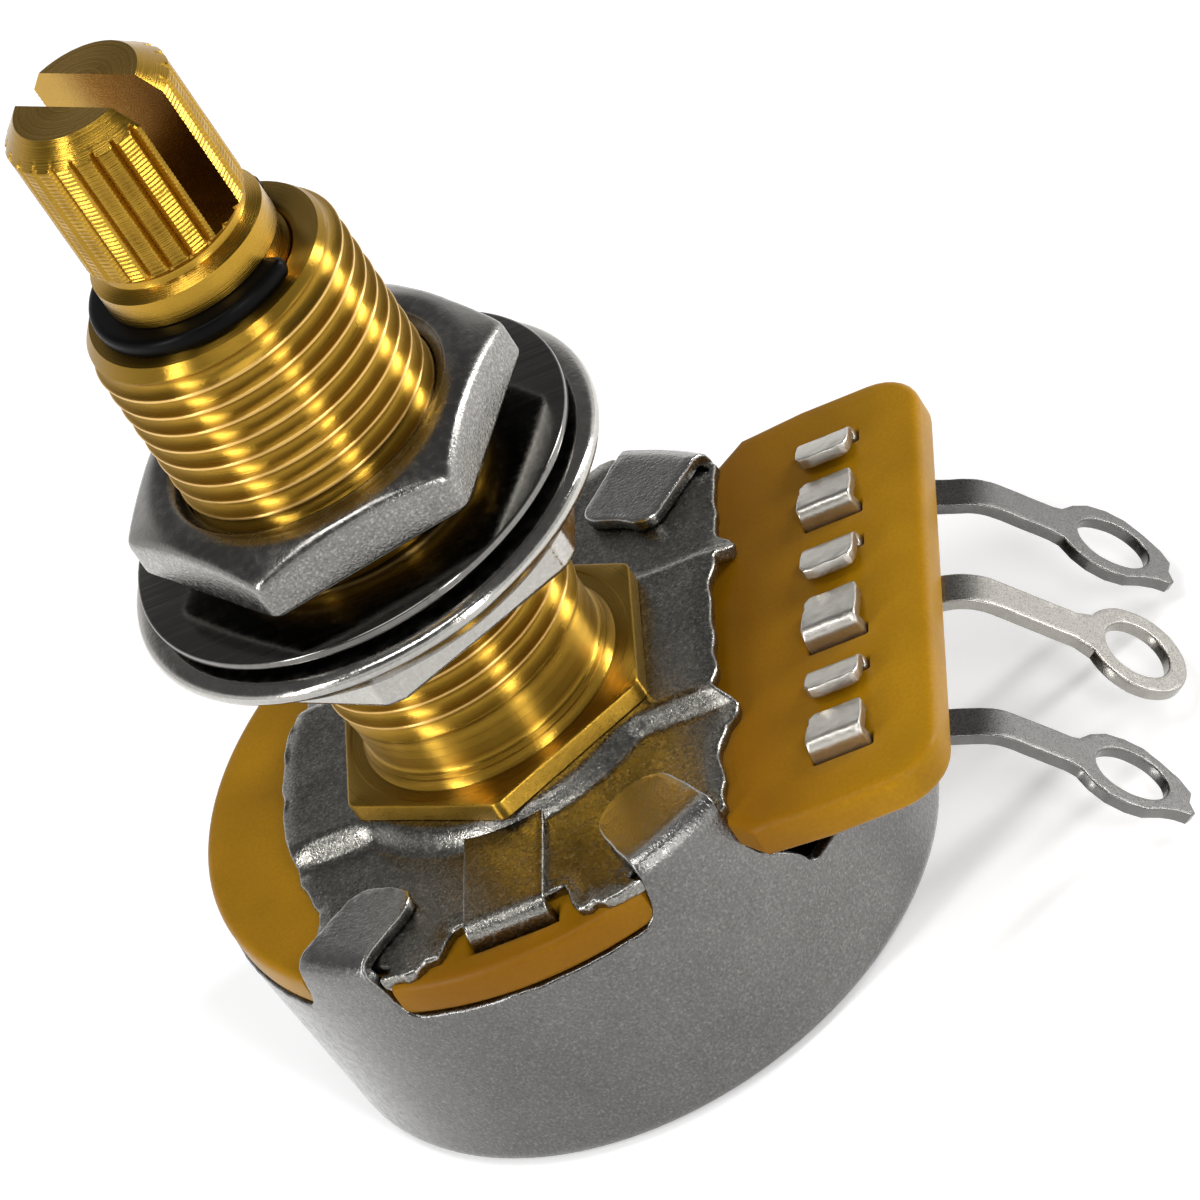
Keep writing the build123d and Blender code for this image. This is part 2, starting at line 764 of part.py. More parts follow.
# Front nut: hexagon with its bevelled face up
with BuildPart() as hex_nut:
    with BuildSketch(Plane.XY.offset(front_nut_bottom)):
        RegularPolygon(front_nut_flats / 2, 6, major_radius=False, rotation=front_nut_angle)
    extrude(amount=front_nut_height)
    front_nut_corner_radius = front_nut_flats / 2 / cos(radians(30))
    with BuildSketch(Plane.XZ):
        with BuildLine():
            Polyline(
                (0, front_nut_bottom),
                (front_nut_corner_radius, front_nut_bottom),
                (front_nut_corner_radius, front_nut_bottom + front_nut_corner_height),
                (front_nut_top_radius, front_nut_top),
                (0, front_nut_top),
                close=True,
            )
        make_face()
    revolve(axis=Axis.Z, mode=Mode.INTERSECT)
    with BuildSketch(Plane.XY.offset(front_nut_bottom)):
        Circle(nut_bore_radius)
    extrude(amount=front_nut_height, mode=Mode.SUBTRACT)
    chamfer(
        hex_nut.edges().filter_by(GeomType.CIRCLE).group_by(SortBy.RADIUS)[0],
        nut_countersink,
    )


pieces = {
    "cover": cover,
    "terminal_board": terminal_board,
    "front_plate": front_plate,
    "bushing": bushing,
    "lug_start": lug_start,
    "lug_wiper": lug_wiper,
    "lug_end": lug_end,
    "resistance_track": resistance_track,
    "pad_start": pad_start,
    "pad_end": pad_end,
    "collector_ring": collector_ring,
    "shaft": shaft,
    "retaining_ring": retaining_ring,
    "rotor": rotor,
    "thrust_washer": thrust_washer,
    "wiper_spring": wiper_spring,
    "flange_nut": flange_nut,
    "dress_washer": dress_washer,
    "hex_nut": hex_nut,
}
for name, piece in pieces.items():
    piece.part.label = name
    export_step(piece.part, f"parts/{name}.step")
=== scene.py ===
"""A panel potentiometer: turned brass, pressed plated steel, an amber laminate board and studio light."""
from contextlib import contextmanager
from math import asin, ceil, cos, degrees, exp, hypot, pi, radians, sin, sqrt

import bmesh
import bpy
import numpy as np
from bpy.props import FloatProperty, FloatVectorProperty, IntProperty, PointerProperty
from mathutils import Matrix, Vector, geometry, noise


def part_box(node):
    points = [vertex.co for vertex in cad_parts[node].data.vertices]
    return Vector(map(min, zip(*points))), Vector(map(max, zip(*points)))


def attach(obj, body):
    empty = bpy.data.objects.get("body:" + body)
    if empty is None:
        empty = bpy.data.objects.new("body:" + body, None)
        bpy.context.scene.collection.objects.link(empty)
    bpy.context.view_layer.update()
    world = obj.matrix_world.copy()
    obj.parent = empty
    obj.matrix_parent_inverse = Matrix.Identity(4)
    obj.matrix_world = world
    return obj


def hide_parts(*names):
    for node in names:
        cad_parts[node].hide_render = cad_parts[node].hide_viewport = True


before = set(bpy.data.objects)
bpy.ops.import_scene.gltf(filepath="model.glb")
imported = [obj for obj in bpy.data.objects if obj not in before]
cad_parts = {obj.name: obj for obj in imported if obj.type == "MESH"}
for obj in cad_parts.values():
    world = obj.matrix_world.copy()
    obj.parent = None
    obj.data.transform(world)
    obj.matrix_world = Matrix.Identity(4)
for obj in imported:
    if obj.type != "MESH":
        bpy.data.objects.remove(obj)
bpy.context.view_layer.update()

bl_info = {
    "name": "Panel Potentiometer",
    "version": (1, 0, 0),
    "blender": (4, 5, 0),
    "location": "3D View > Sidebar > Potentiometer",
    "description": "Builds the looks of a long-bushing potentiometer around its packed frame",
    "category": "Object",
}

MM = 0.001


def box_mm(node):
    """Lowest and highest corner of a node, in millimetres."""
    low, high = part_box(node)
    return low / MM, high / MM


COVER_RADIUS, COVER_TOP = box_mm("cover")[1].yz
BOARD_BOTTOM, BOARD_TOP = (corner.z for corner in box_mm("terminal_board"))
PLATE_TOP = box_mm("front_plate")[1].z
BUSHING_BOTTOM, BUSHING_TOP = (corner.z for corner in box_mm("bushing"))
SHAFT_BOTTOM, SHAFT_TOP = (corner.z for corner in box_mm("shaft"))
RING_BOTTOM, RING_TOP = (corner.z for corner in box_mm("retaining_ring"))
THREAD_RADIUS = 4.7625
TAB_ANGLES = (57.5, 122.5, -122.5, -57.5)
LUG_SPACING = 6.0

# Node kinds that are used often
MATH = "ShaderNodeMath"
NOISE = "ShaderNodeTexNoise"
RANGE = "ShaderNodeMapRange"
MIX = "ShaderNodeMix"
BUMP = "ShaderNodeBump"
SPLIT = "ShaderNodeSeparateXYZ"
JOIN = "ShaderNodeCombineXYZ"
VECTOR = "ShaderNodeVectorMath"

# Nearly all values of a noise lie between these
NOISE_LOW, NOISE_HIGH = 0.3, 0.7


def size(name, default, text):
    """A length in millimetres shown in the sidebar."""
    return FloatProperty(name=name, description=text, default=default, min=0.0, max=100.0, unit="NONE")


def paint(name, code, text):
    """A colour of the sidebar, given as an sRGB hex value."""
    return FloatVectorProperty(
        name=name, description=text, default=linear(code)[:3], size=3, subtype="COLOR", min=0, max=1
    )


def linear(code):
    """Linear RGBA of an sRGB hex value."""
    values = [int(code[i : i + 2], 16) / 255 for i in (1, 3, 5)]
    return [v / 12.92 if v <= 0.04045 else ((v + 0.055) / 1.055) ** 2.4 for v in values] + [1.0]


class PotentiometerSizes(bpy.types.PropertyGroup):
    """Sizes of the visible detail, in millimetres."""

    thread_pitch: size("Thread pitch", 0.79375, "Distance between two crests of the bushing's thread")
    thread_depth: size("Thread depth", 0.36, "Depth of the thread's valley")
    knurl_teeth: IntProperty(name="Knurl teeth", description="Teeth round the shaft's end", default=24, min=6)
    knurl_ridge_pitch: size("Knurl ridges", 0.17, "Distance between the fine ridges across a tooth")
    slot_width: size("Slot width", 1.5, "Width of the slot in the shaft's end")
    slot_angle: FloatProperty(
        name="Slot angle",
        description="Direction of the slot, turned from +X",
        default=radians(147.2),
        subtype="ANGLE",
    )
    cover_sheet: size("Cover sheet", 0.5, "Thickness of the cover's steel")
    plate_sheet: size("Plate sheet", 0.55, "Thickness of the front plate's steel")
    lug_sheet: size("Lug sheet", 0.45, "Thickness of the terminals")
    sheet_edge: size("Sheet edge", 0.11, "Rounding along the edges of pressed sheet")


class PotentiometerFinishes(bpy.types.PropertyGroup):
    """Colours of the materials."""

    brass: paint("Brass", "#A8832F", "Turned brass of shaft and bushing")
    nickel: paint("Nickel", "#868480", "Plated nuts and washer")
    cover_steel: paint("Cover steel", "#737270", "Zinc plated steel of the cover")
    plate_steel: paint("Plate steel", "#8E8C86", "Darker plated steel of the front plate")
    laminate: paint("Laminate", "#A2760A", "Amber laminate of the terminal board")
    tin: paint("Tin", "#95928C", "Tin plating of the middle terminal and the prongs")
    # The outer terminals are given a darker tin colour than the middle one
    outer_tin: paint("Outer tin", "#6C6B69", "Duller plating of the outer terminals")
    black_oxide: paint("Black oxide", "#060606", "Finish of the retaining ring")


def sizes():
    """The sizes set in the sidebar."""
    return bpy.context.scene.potentiometer_sizes


def finishes():
    """The colours set in the sidebar."""
    return bpy.context.scene.potentiometer_finishes


# Materials


def add_node(tree, kind, inputs=(), out=0, **settings):
    """An output of a new node, or all if out is None; inputs holds values and sockets, in order or by name."""
    made = tree.nodes.new(kind)
    for key, value in settings.items():
        setattr(made, key, value)
    for key, value in inputs.items() if isinstance(inputs, dict) else enumerate(inputs):
        if isinstance(value, bpy.types.NodeSocket):
            tree.links.new(value, made.inputs[key])
        else:
            made.inputs[key].default_value = value
    return made.outputs if out is None else made.outputs[out]


def empty_material(name):
    """A new material and its empty tree."""
    made = bpy.data.materials.new(name)
    made.use_nodes = True
    made.node_tree.nodes.clear()
    return made, made.node_tree


def add_shader(tree, inputs):
    """The shader of a material, with these inputs, and its output."""
    shader = add_node(tree, "ShaderNodeBsdfPrincipled", inputs)
    add_node(tree, "ShaderNodeOutputMaterial", [shader], None)


def object_place(tree):
    """Object coordinates in millimetres."""
    place = add_node(tree, "ShaderNodeTexCoord", out="Object")
    return add_node(tree, "ShaderNodeMapping", {"Vector": place, "Scale": (1 / MM, 1 / MM, 1 / MM)})


def round_and_height(tree):
    """Distance from the shaft's axis and height, in millimetres, as a vector that rings share."""
    parts = add_node(tree, SPLIT, [object_place(tree)], None)
    flat = add_node(tree, JOIN, [parts["X"], parts["Y"]])
    radius = add_node(tree, VECTOR, [flat], "Value", operation="LENGTH")
    return add_node(tree, JOIN, [radius, parts["Z"]])


def shade(colour, factor):
    """A colour made darker or lighter."""
    return [min(1.0, value * factor) for value in list(colour)[:3]] + [1.0]


def turned_brass(name, stretch, rough_low, rough_high, crest=0.0):
    """Free-cutting brass fresh from the lathe: tool rings that stretch each highlight, and thread crests painted
    pale as a painted highlight.
    """
    made, tree = empty_material(name)
    brass = finishes().brass
    place, rings = object_place(tree), round_and_height(tree)
    tool = add_node(tree, NOISE, {"Vector": rings, "Scale": 1 / 0.05, "Detail": 3.0, "Roughness": 0.6})
    broad = add_node(tree, NOISE, {"Vector": place, "Scale": 1 / 1.7})
    spots = add_node(tree, NOISE, {"Vector": place, "Scale": 1 / 0.12})
    tone = add_node(tree, MIX, {0: broad, 6: shade(brass, 0.86), 7: shade(brass, 1.06)}, 2, data_type="RGBA")
    # Painted highlight: the thread's crests are painted pale brass
    if crest:
        thread_start = PLATE_TOP + 2.06
        parts = add_node(tree, SPLIT, [rings], None)
        recoloured = add_node(tree, RANGE, [parts["X"], crest - 0.07, crest - 0.02, 0.0, 0.85])
        threaded = add_node(tree, MATH, [parts["Y"], thread_start], operation="GREATER_THAN")
        recoloured = add_node(tree, MATH, [recoloured, threaded], operation="MULTIPLY")
        painted_crest_highlight = [min(1.0, value * 1.8 + 0.12) for value in brass] + [1.0]
        tone = add_node(tree, MIX, {0: recoloured, 6: tone, 7: painted_crest_highlight}, 2, data_type="RGBA")
    dents = add_node(tree, BUMP, {"Height": tool, "Distance": 0.008 * MM})
    add_shader(tree, {
        "Base Color": tone,
        "Metallic": 1.0,
        "Roughness": add_node(tree, RANGE, [tool, NOISE_LOW, NOISE_HIGH, rough_low, rough_high]),
        "Normal": add_node(tree, BUMP, {"Height": spots, "Distance": 0.003 * MM, "Normal": dents}),
        "Tangent": add_node(tree, "ShaderNodeTangent", direction_type="RADIAL", axis="Z"),
        "Anisotropic": stretch,
        "Anisotropic Rotation": 0.25,
    })
    return made


def plated_steel(name, colour, grit, depth, rough_low, rough_high, glint_and_pit_shade, smooth_top=0.0, painted_highlight_height=0.0):
    """Barrel plated pressed steel: a sandy grain with painted glints on its tops and painted shade in its pits.

    smooth_top takes the grain off faces that look along the shaft; the last argument is the height from which a
    painted highlight makes the surface pale, and smoother too.
    """
    made, tree = empty_material(name)
    place = object_place(tree)
    fine = add_node(tree, NOISE, {"Vector": place, "Scale": 1 / grit, "Roughness": 0.6})
    broad = add_node(tree, NOISE, {"Vector": place, "Scale": 1 / 2.2, "Detail": 3.0})
    dull = add_node(tree, NOISE, {"Vector": place, "Scale": 1 / (grit * 3)})
    rough = add_node(tree, RANGE, [dull, NOISE_LOW, NOISE_HIGH, rough_low, rough_high])
    tone = add_node(tree, MIX, {0: broad, 6: shade(colour, 0.82), 7: shade(colour, 1.08)}, 2, data_type="RGBA")
    if smooth_top:
        upward = add_node(tree, SPLIT, [add_node(tree, "ShaderNodeTexCoord", out="Normal")], "Z")
        upward = add_node(tree, MATH, [upward], operation="ABSOLUTE")
        kept = add_node(tree, MATH, [upward, -smooth_top, 1.0], operation="MULTIPLY_ADD")
        fine = add_node(tree, MATH, [fine, 0.5], operation="SUBTRACT")
        fine = add_node(tree, MATH, [fine, kept, 0.5], operation="MULTIPLY_ADD")
    # Painted light on the grain: shade painted into its pits and glints painted on its tops
    painted_pit_shade = add_node(tree, RANGE, [fine, 0.3, 0.5, glint_and_pit_shade, 0.0])
    tone = add_node(tree, MIX, {0: painted_pit_shade, 6: tone, 7: shade(colour, 0.45)}, 2, data_type="RGBA")
    painted_glint = add_node(tree, RANGE, [fine, 0.54, 0.72, 0.0, glint_and_pit_shade])
    tone = add_node(tree, MIX, {0: painted_glint, 6: tone, 7: shade(colour, 2.0)}, 2, data_type="RGBA")
    # Painted highlight: above the given height the tone is painted pale, and the roughness drops
    if painted_highlight_height:
        height = add_node(tree, SPLIT, [place], "Z")
        painted_highlight = add_node(tree, RANGE, [height, painted_highlight_height, painted_highlight_height + 0.25, 0.0, 0.8])
        tone = add_node(tree, MIX, {0: painted_highlight, 6: tone, 7: shade(colour, 3.2)}, 2, data_type="RGBA")
        smoother = add_node(tree, RANGE, [height, painted_highlight_height, painted_highlight_height + 0.25, 1.0, 0.85])
        rough = add_node(tree, MATH, [rough, smoother], operation="MULTIPLY")
    normal = add_node(tree, BUMP, {"Height": fine, "Distance": depth * MM})
    add_shader(tree, {"Base Color": tone, "Metallic": 1.0, "Roughness": rough, "Normal": normal})
    return made


def brushed_nickel():
    """Nickel plated washer, polished with a belt: fine straight scratches across a mirror."""
    made, tree = empty_material("polished_nickel")
    nickel = finishes().nickel
    place = add_node(tree, "ShaderNodeTexCoord", out="Object")
    along_belt = {"Vector": place, "Rotation": (0, 0, radians(35)), "Scale": (0.35 / MM, 14 / MM, 1 / MM)}
    turned = add_node(tree, "ShaderNodeMapping", along_belt)
    lines = add_node(tree, NOISE, {"Vector": turned, "Scale": 1.0, "Detail": 3.0})
    tone = add_node(tree, MIX, {0: lines, 6: shade(nickel, 0.45), 7: shade(nickel, 0.95)}, 2, data_type="RGBA")
    rough = add_node(tree, RANGE, [lines, NOISE_LOW, NOISE_HIGH, 0.08, 0.2])
    normal = add_node(tree, BUMP, {"Height": lines, "Distance": 0.002 * MM})
    add_shader(tree, {"Base Color": tone, "Metallic": 1.0, "Roughness": rough, "Normal": normal})
    return made


def amber_laminate():
    """Resin-bonded paper laminate, sheared from sheet: cloudy amber with paper noise, and painted shade on its nose
    over the terminals and along its front edge by the plate.
    """
    made, tree = empty_material("amber_laminate")
    base = finishes().laminate
    place = object_place(tree)
    paper = add_node(tree, NOISE, {"Vector": place, "Scale": 1 / 0.14, "Detail": 3.0, "Roughness": 0.6})
    cloud = add_node(tree, NOISE, {"Vector": place, "Scale": 1 / 4.5, "Detail": 3.0})
    cloud = add_node(tree, RANGE, [cloud, 0.35, 0.65, 0.0, 1.0])
    fibre = add_node(tree, RANGE, [paper, NOISE_LOW, NOISE_HIGH, 0.0, 0.4])
    tone = add_node(tree, MIX, {0: cloud, 6: shade(base, 0.85), 7: shade(base, 1.15)}, 2, data_type="RGBA")
    tone = add_node(tree, MIX, {0: fibre, 6: tone, 7: shade(base, 0.6)}, 2, data_type="RGBA")
    # Painted shade: darker brown over the terminals and along the front edge that the plate shades
    parts = add_node(tree, SPLIT, [place], None)
    painted_shade_zones = [
        add_node(tree, MATH, [add_node(tree, RANGE, first), add_node(tree, RANGE, second)], operation="MULTIPLY")
        for first, second in (
            ([parts["X"], 4.0, 8.0, 0.1, 0.6], [parts["X"], 8.5, 14.5, 1.0, 0.1]),
            ([parts["Y"], -11.6, -8.5, 0.6, 0.0], [parts["X"], 6.0, 9.0, 1.0, 0.0]),
        )
    ]
    painted_shade = add_node(tree, MATH, painted_shade_zones, operation="MAXIMUM")
    painted_shade_colour = [value * share for value, share in zip(shade(base, 1.0), (0.36, 0.2, 0.06, 1))]
    add_shader(tree, {
        "Base Color": add_node(tree, MIX, {0: painted_shade, 6: tone, 7: painted_shade_colour}, 2, data_type="RGBA"),
        "Roughness": 0.4,
        "Specular IOR Level": 0.12,
        "Subsurface Weight": 0.2,
        "Subsurface Radius": (1.0, 0.6, 0.15),
        "Subsurface Scale": 0.6 * MM,
        "Normal": add_node(tree, BUMP, {"Height": paper, "Distance": 0.004 * MM}),
    })
    return made


def tinned_sheet(name, colour, depth, rough_low=0.22, rough_high=0.38):
    """Tin plated brass strip: a soft bright metal with shallow dents from the press."""
    made, tree = empty_material(name)
    place = object_place(tree)
    dents = add_node(tree, NOISE, {"Vector": place, "Scale": 1 / 0.3, "Detail": 3.0, "Roughness": 0.55})
    fine = add_node(tree, NOISE, {"Vector": place, "Scale": 1 / 0.06})
    pressed = add_node(tree, BUMP, {"Height": dents, "Distance": depth * MM})
    add_shader(
        tree,
        {
            "Base Color": add_node(
                tree, MIX, {0: dents, 6: shade(colour, 0.8), 7: shade(colour, 1.08)}, 2, data_type="RGBA"
            ),
            "Metallic": 1.0,
            "Roughness": add_node(tree, RANGE, [fine, NOISE_LOW, NOISE_HIGH, rough_low, rough_high]),
            "Normal": add_node(tree, BUMP, {"Height": fine, "Distance": 0.003 * MM, "Normal": pressed}),
        },
    )
    return made


def black_spring_steel():
    """Oiled black oxide on spring wire: dark, with a soft sheen along its round edge."""
    made, tree = empty_material("black_spring_steel")
    black = finishes().black_oxide
    wear = add_node(tree, NOISE, {"Vector": round_and_height(tree), "Scale": 1 / 0.08})
    add_shader(
        tree,
        {
            "Base Color": add_node(
                tree, MIX, {0: wear, 6: shade(black, 0.6), 7: shade(black, 1.5)}, 2, data_type="RGBA"
            ),
            "Specular IOR Level": 0.06,
            "Roughness": add_node(tree, RANGE, [wear, NOISE_LOW, NOISE_HIGH, 0.28, 0.42]),
            "Normal": add_node(tree, BUMP, {"Height": wear, "Distance": 0.006 * MM}),
        },
    )
    return made


def moulded_plastic(name, code, rough):
    """Moulded thermoset or nylon: matt, with the faint grain of its mould."""
    made, tree = empty_material(name)
    colour = linear(code)
    fine = add_node(tree, NOISE, {"Vector": object_place(tree), "Scale": 1 / 0.15})
    tone = add_node(tree, MIX, {0: fine, 6: shade(colour, 0.85), 7: shade(colour, 1.1)}, 2, data_type="RGBA")
    normal = add_node(tree, BUMP, {"Height": fine, "Distance": 0.004 * MM})
    add_shader(tree, {"Base Color": tone, "Roughness": rough, "Normal": normal})
    return made


# Mesh making


class Solid:
    """Vertices and faces of one piece, in millimetres."""

    def __init__(self):
        self.points = []
        self.faces = []

    def add_grid(self, rows, closed_rows=False, closed_columns=False):
        """Quads over rows of points that all have the same number of columns."""
        first = len(self.points)
        width = len(rows[0])
        for row in rows:
            self.points.extend(row)
        row_count = len(rows) if closed_rows else len(rows) - 1
        column_count = width if closed_columns else width - 1
        for i in range(row_count):
            for j in range(column_count):
                a = first + i * width + j
                b = first + i * width + (j + 1) % width
                c = first + ((i + 1) % len(rows)) * width + (j + 1) % width
                d = first + ((i + 1) % len(rows)) * width + j
                self.faces.append((a, b, c, d))

    def add_turned(self, section, steps, start=0.0, closed=False):
        """A shape turned on the lathe; the section holds radius and height, or is a function of the angle."""
        rows = []
        for i in range(steps):
            angle = start + 2 * pi * i / steps
            points = section(angle) if callable(section) else section
            rows.append([(r * cos(angle), r * sin(angle), z) for r, z in points])
        self.add_grid(rows, closed_rows=True, closed_columns=closed)

    def show(self, name, weld=0.0005):
        """An object of the shape, with its doubles merged."""
        return solid_object(name, self.points, self.faces, weld)


def rounded(points, radii, steps=4):
    """A closed section with each corner rounded; radii holds one value a corner or one for all."""
    count = len(points)
    if isinstance(radii, (int, float)):
        radii = [radii] * count
    made = []
    for i, corner in enumerate(points):
        here = Vector(corner)
        before = Vector(points[i - 1]) - here
        after = Vector(points[(i + 1) % count]) - here
        reach = min(radii[i], before.length * 0.49, after.length * 0.49)
        if reach < 1e-6:
            made.extend([tuple(here)] * (steps + 1))
            continue
        first = here + before.normalized() * reach
        last = here + after.normalized() * reach
        for k in range(steps + 1):
            t = k / steps
            made.append(tuple(first * (1 - t) ** 2 + here * (2 * t * (1 - t)) + last * t * t))
    return made


@contextmanager
def editing(mesh):
    """The mesh as a bmesh that is written back at the end."""
    work = bmesh.new()
    work.from_mesh(mesh)
    yield work
    work.to_mesh(mesh)
    work.free()


def clean(mesh, weld):
    """Merges points closer than a weld distance in millimetres and turns the normals outwards."""
    with editing(mesh) as work:
        bmesh.ops.remove_doubles(work, verts=work.verts, dist=weld * MM)
        bmesh.ops.dissolve_degenerate(work, edges=work.edges, dist=1e-9)
        bmesh.ops.recalc_face_normals(work, faces=work.faces)


def solid_object(name, points, faces, weld):
    """An object from points in millimetres, with its doubles merged and its normals outwards."""
    mesh = bpy.data.meshes.new(name)
    mesh.from_pydata([(x * MM, y * MM, z * MM) for x, y, z in points], [], faces)
    clean(mesh, weld)
    return new_object(name, mesh)


def finish_piece(made, body, replaced, material, sharp=32.0):
    """Shading, material, body and replaced nodes of a finished piece."""
    made.data.materials.clear()
    made.data.materials.append(material)
    for polygon in made.data.polygons:
        polygon.use_smooth = True
        polygon.material_index = 0
    made.data.set_sharp_from_angle(angle=radians(sharp))
    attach(made, body)
    if replaced:
        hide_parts(*replaced)
    return made


def new_object(name, data):
    """An object at the origin for a mesh, lamp or camera."""
    made = bpy.data.objects.new(name, data)
    bpy.context.scene.collection.objects.link(made)
    return made


def apply_modifiers(made):
    """The object's mesh as its modifiers show it, with the modifiers gone."""
    bpy.context.view_layer.update()
    shown = made.evaluated_get(bpy.context.evaluated_depsgraph_get())
    mesh = bpy.data.meshes.new_from_object(shown)
    made.modifiers.clear()
    made.data = mesh
    return made


def drop_slivers(mesh):
    """Leaves out the slivers that a cut leaves along its edge: two triangles back to back on the same corners."""
    with editing(mesh) as work:
        bmesh.ops.triangulate(work, faces=work.faces)
        on_corners = {}
        for face in work.faces:
            on_corners.setdefault(frozenset(corner.index for corner in face.verts), []).append(face)
        slivers = [face for faces in on_corners.values() if len(faces) > 1 for face in faces]
        bmesh.ops.delete(work, geom=slivers, context="FACES")


def join(first, *others):
    """Other objects' meshes added to the first, which keeps its name."""
    with editing(first.data) as work:
        for made in others:
            work.from_mesh(made.data)
    for made in others:
        bpy.data.objects.remove(made)
    return first


def inside(outline, x, y):
    """Whether points lie inside a closed outline; x and y are arrays."""
    result = np.zeros(len(x), bool)
    count = len(outline)
    for i in range(count):
        x1, y1 = outline[i]
        x2, y2 = outline[(i + 1) % count]
        if y1 == y2:
            continue
        crosses = (y1 > y) != (y2 > y)
        result ^= crosses & (x < (x2 - x1) * (y - y1) / (y2 - y1) + x1)
    return result


def in_sheet(loops, x, y):
    """Whether points lie inside the first outline and outside the others, which are its holes."""
    kept = inside(loops[0], x, y)
    for loop in loops[1:]:
        kept &= ~inside(loop, x, y)
    return kept


def resample(outline, spacing):
    """A closed outline with points no further apart than the spacing."""
    made = []
    count = len(outline)
    for i in range(count):
        a = Vector(outline[i])
        b = Vector(outline[(i + 1) % count])
        parts = max(1, ceil((b - a).length / spacing))
        made.extend(tuple(a.lerp(b, k / parts)) for k in range(parts))
    return made


def distance_to(outline, x, y):
    """Least distance of each point to a closed outline."""
    least = np.full(len(x), 1e9)
    count = len(outline)
    for i in range(count):
        a = np.array(outline[i])
        d = np.array(outline[(i + 1) % count]) - a
        along = np.clip(((x - a[0]) * d[0] + (y - a[1]) * d[1]) / max(d @ d, 1e-12), 0, 1)
        least = np.minimum(least, np.hypot(x - a[0] - along * d[0], y - a[1] - along * d[1]))
    return least


def walled(name, points, faces, thickness, edge, rough, burr, cell):
    """An open surface with a wall behind it; its edges are rounded, and may be uneven and raised like a burr."""
    work = bmesh.new()
    corners = [work.verts.new(point) for point in points]
    for face in faces:
        if len({corners[i] for i in face}) == len(face):
            work.faces.new([corners[i] for i in face])
    bmesh.ops.remove_doubles(work, verts=work.verts, dist=0.003)
    bmesh.ops.delete(work, geom=[v for v in work.verts if not v.link_faces], context="VERTS")
    bmesh.ops.recalc_face_normals(work, faces=work.faces)
    highest = max(work.faces, key=lambda face: face.calc_center_median().z)
    if highest.normal.z < 0:
        bmesh.ops.reverse_faces(work, faces=work.faces)
    work.normal_update()
    work.verts.index_update()
    count = len(work.verts)
    spots = np.array([v.co for v in work.verts])
    normals = np.array([v.normal for v in work.verts])
    made_faces = [[v.index for v in face.verts] for face in work.faces]
    outward = np.zeros((count, 3))
    rim_edges = []
    for rim_edge in work.edges:
        if len(rim_edge.link_faces) == 1:
            loop = rim_edge.link_loops[0]
            first, last = loop.vert, loop.link_loop_next.vert
            side = (last.co - first.co).cross(rim_edge.link_faces[0].normal).normalized()
            rim_edges.append((first.index, last.index))
            outward[first.index] += side
            outward[last.index] += side
    work.free()
    lengths = np.linalg.norm(outward, axis=1)
    rim = np.nonzero(lengths > 1e-6)[0]
    outward[rim] /= lengths[rim, None]
    reach = np.zeros(count)
    lift = np.zeros(count)
    rounding = np.zeros(count)
    for i in rim:
        x, y, z = spots[i]
        rounding[i] = edge(x, y) if callable(edge) else edge
        reach[i] = rough * waver(x, y, z, cell)
        lift[i] = burr * max(0.0, waver(x + 20, y, z, cell * 0.6))
    place = {i: k for k, i in enumerate(rim.tolist())}
    inset = (reach - rounding)[:, None] * outward
    layers = [spots + inset + normals * lift[:, None], spots + inset - normals * thickness]
    for k in (1, 2, 3, 4, 4, 3, 2, 1):
        turn = pi / 8 * k
        back = (reach - rounding * (1 - sin(turn)))[rim, None] * outward[rim]
        depth = (rounding * (1 - cos(turn)))[rim, None]
        if len(layers) < 6:
            layers.append(spots[rim] + back + normals[rim] * (lift[rim, None] - depth))
        else:
            layers.append(spots[rim] + back - normals[rim] * (thickness - depth))

    def row(i, k):
        if k == 0:
            return i
        if k == 9:
            return count + i
        return 2 * count + (k - 1) * len(rim) + place[i]

    made_faces += [[count + i for i in reversed(face)] for face in made_faces]
    for first, last in rim_edges:
        for k in range(9):
            made_faces.append([row(first, k), row(first, k + 1), row(last, k + 1), row(last, k)])
    return solid_object(name, np.concatenate(layers).tolist(), made_faces, 0.0002)


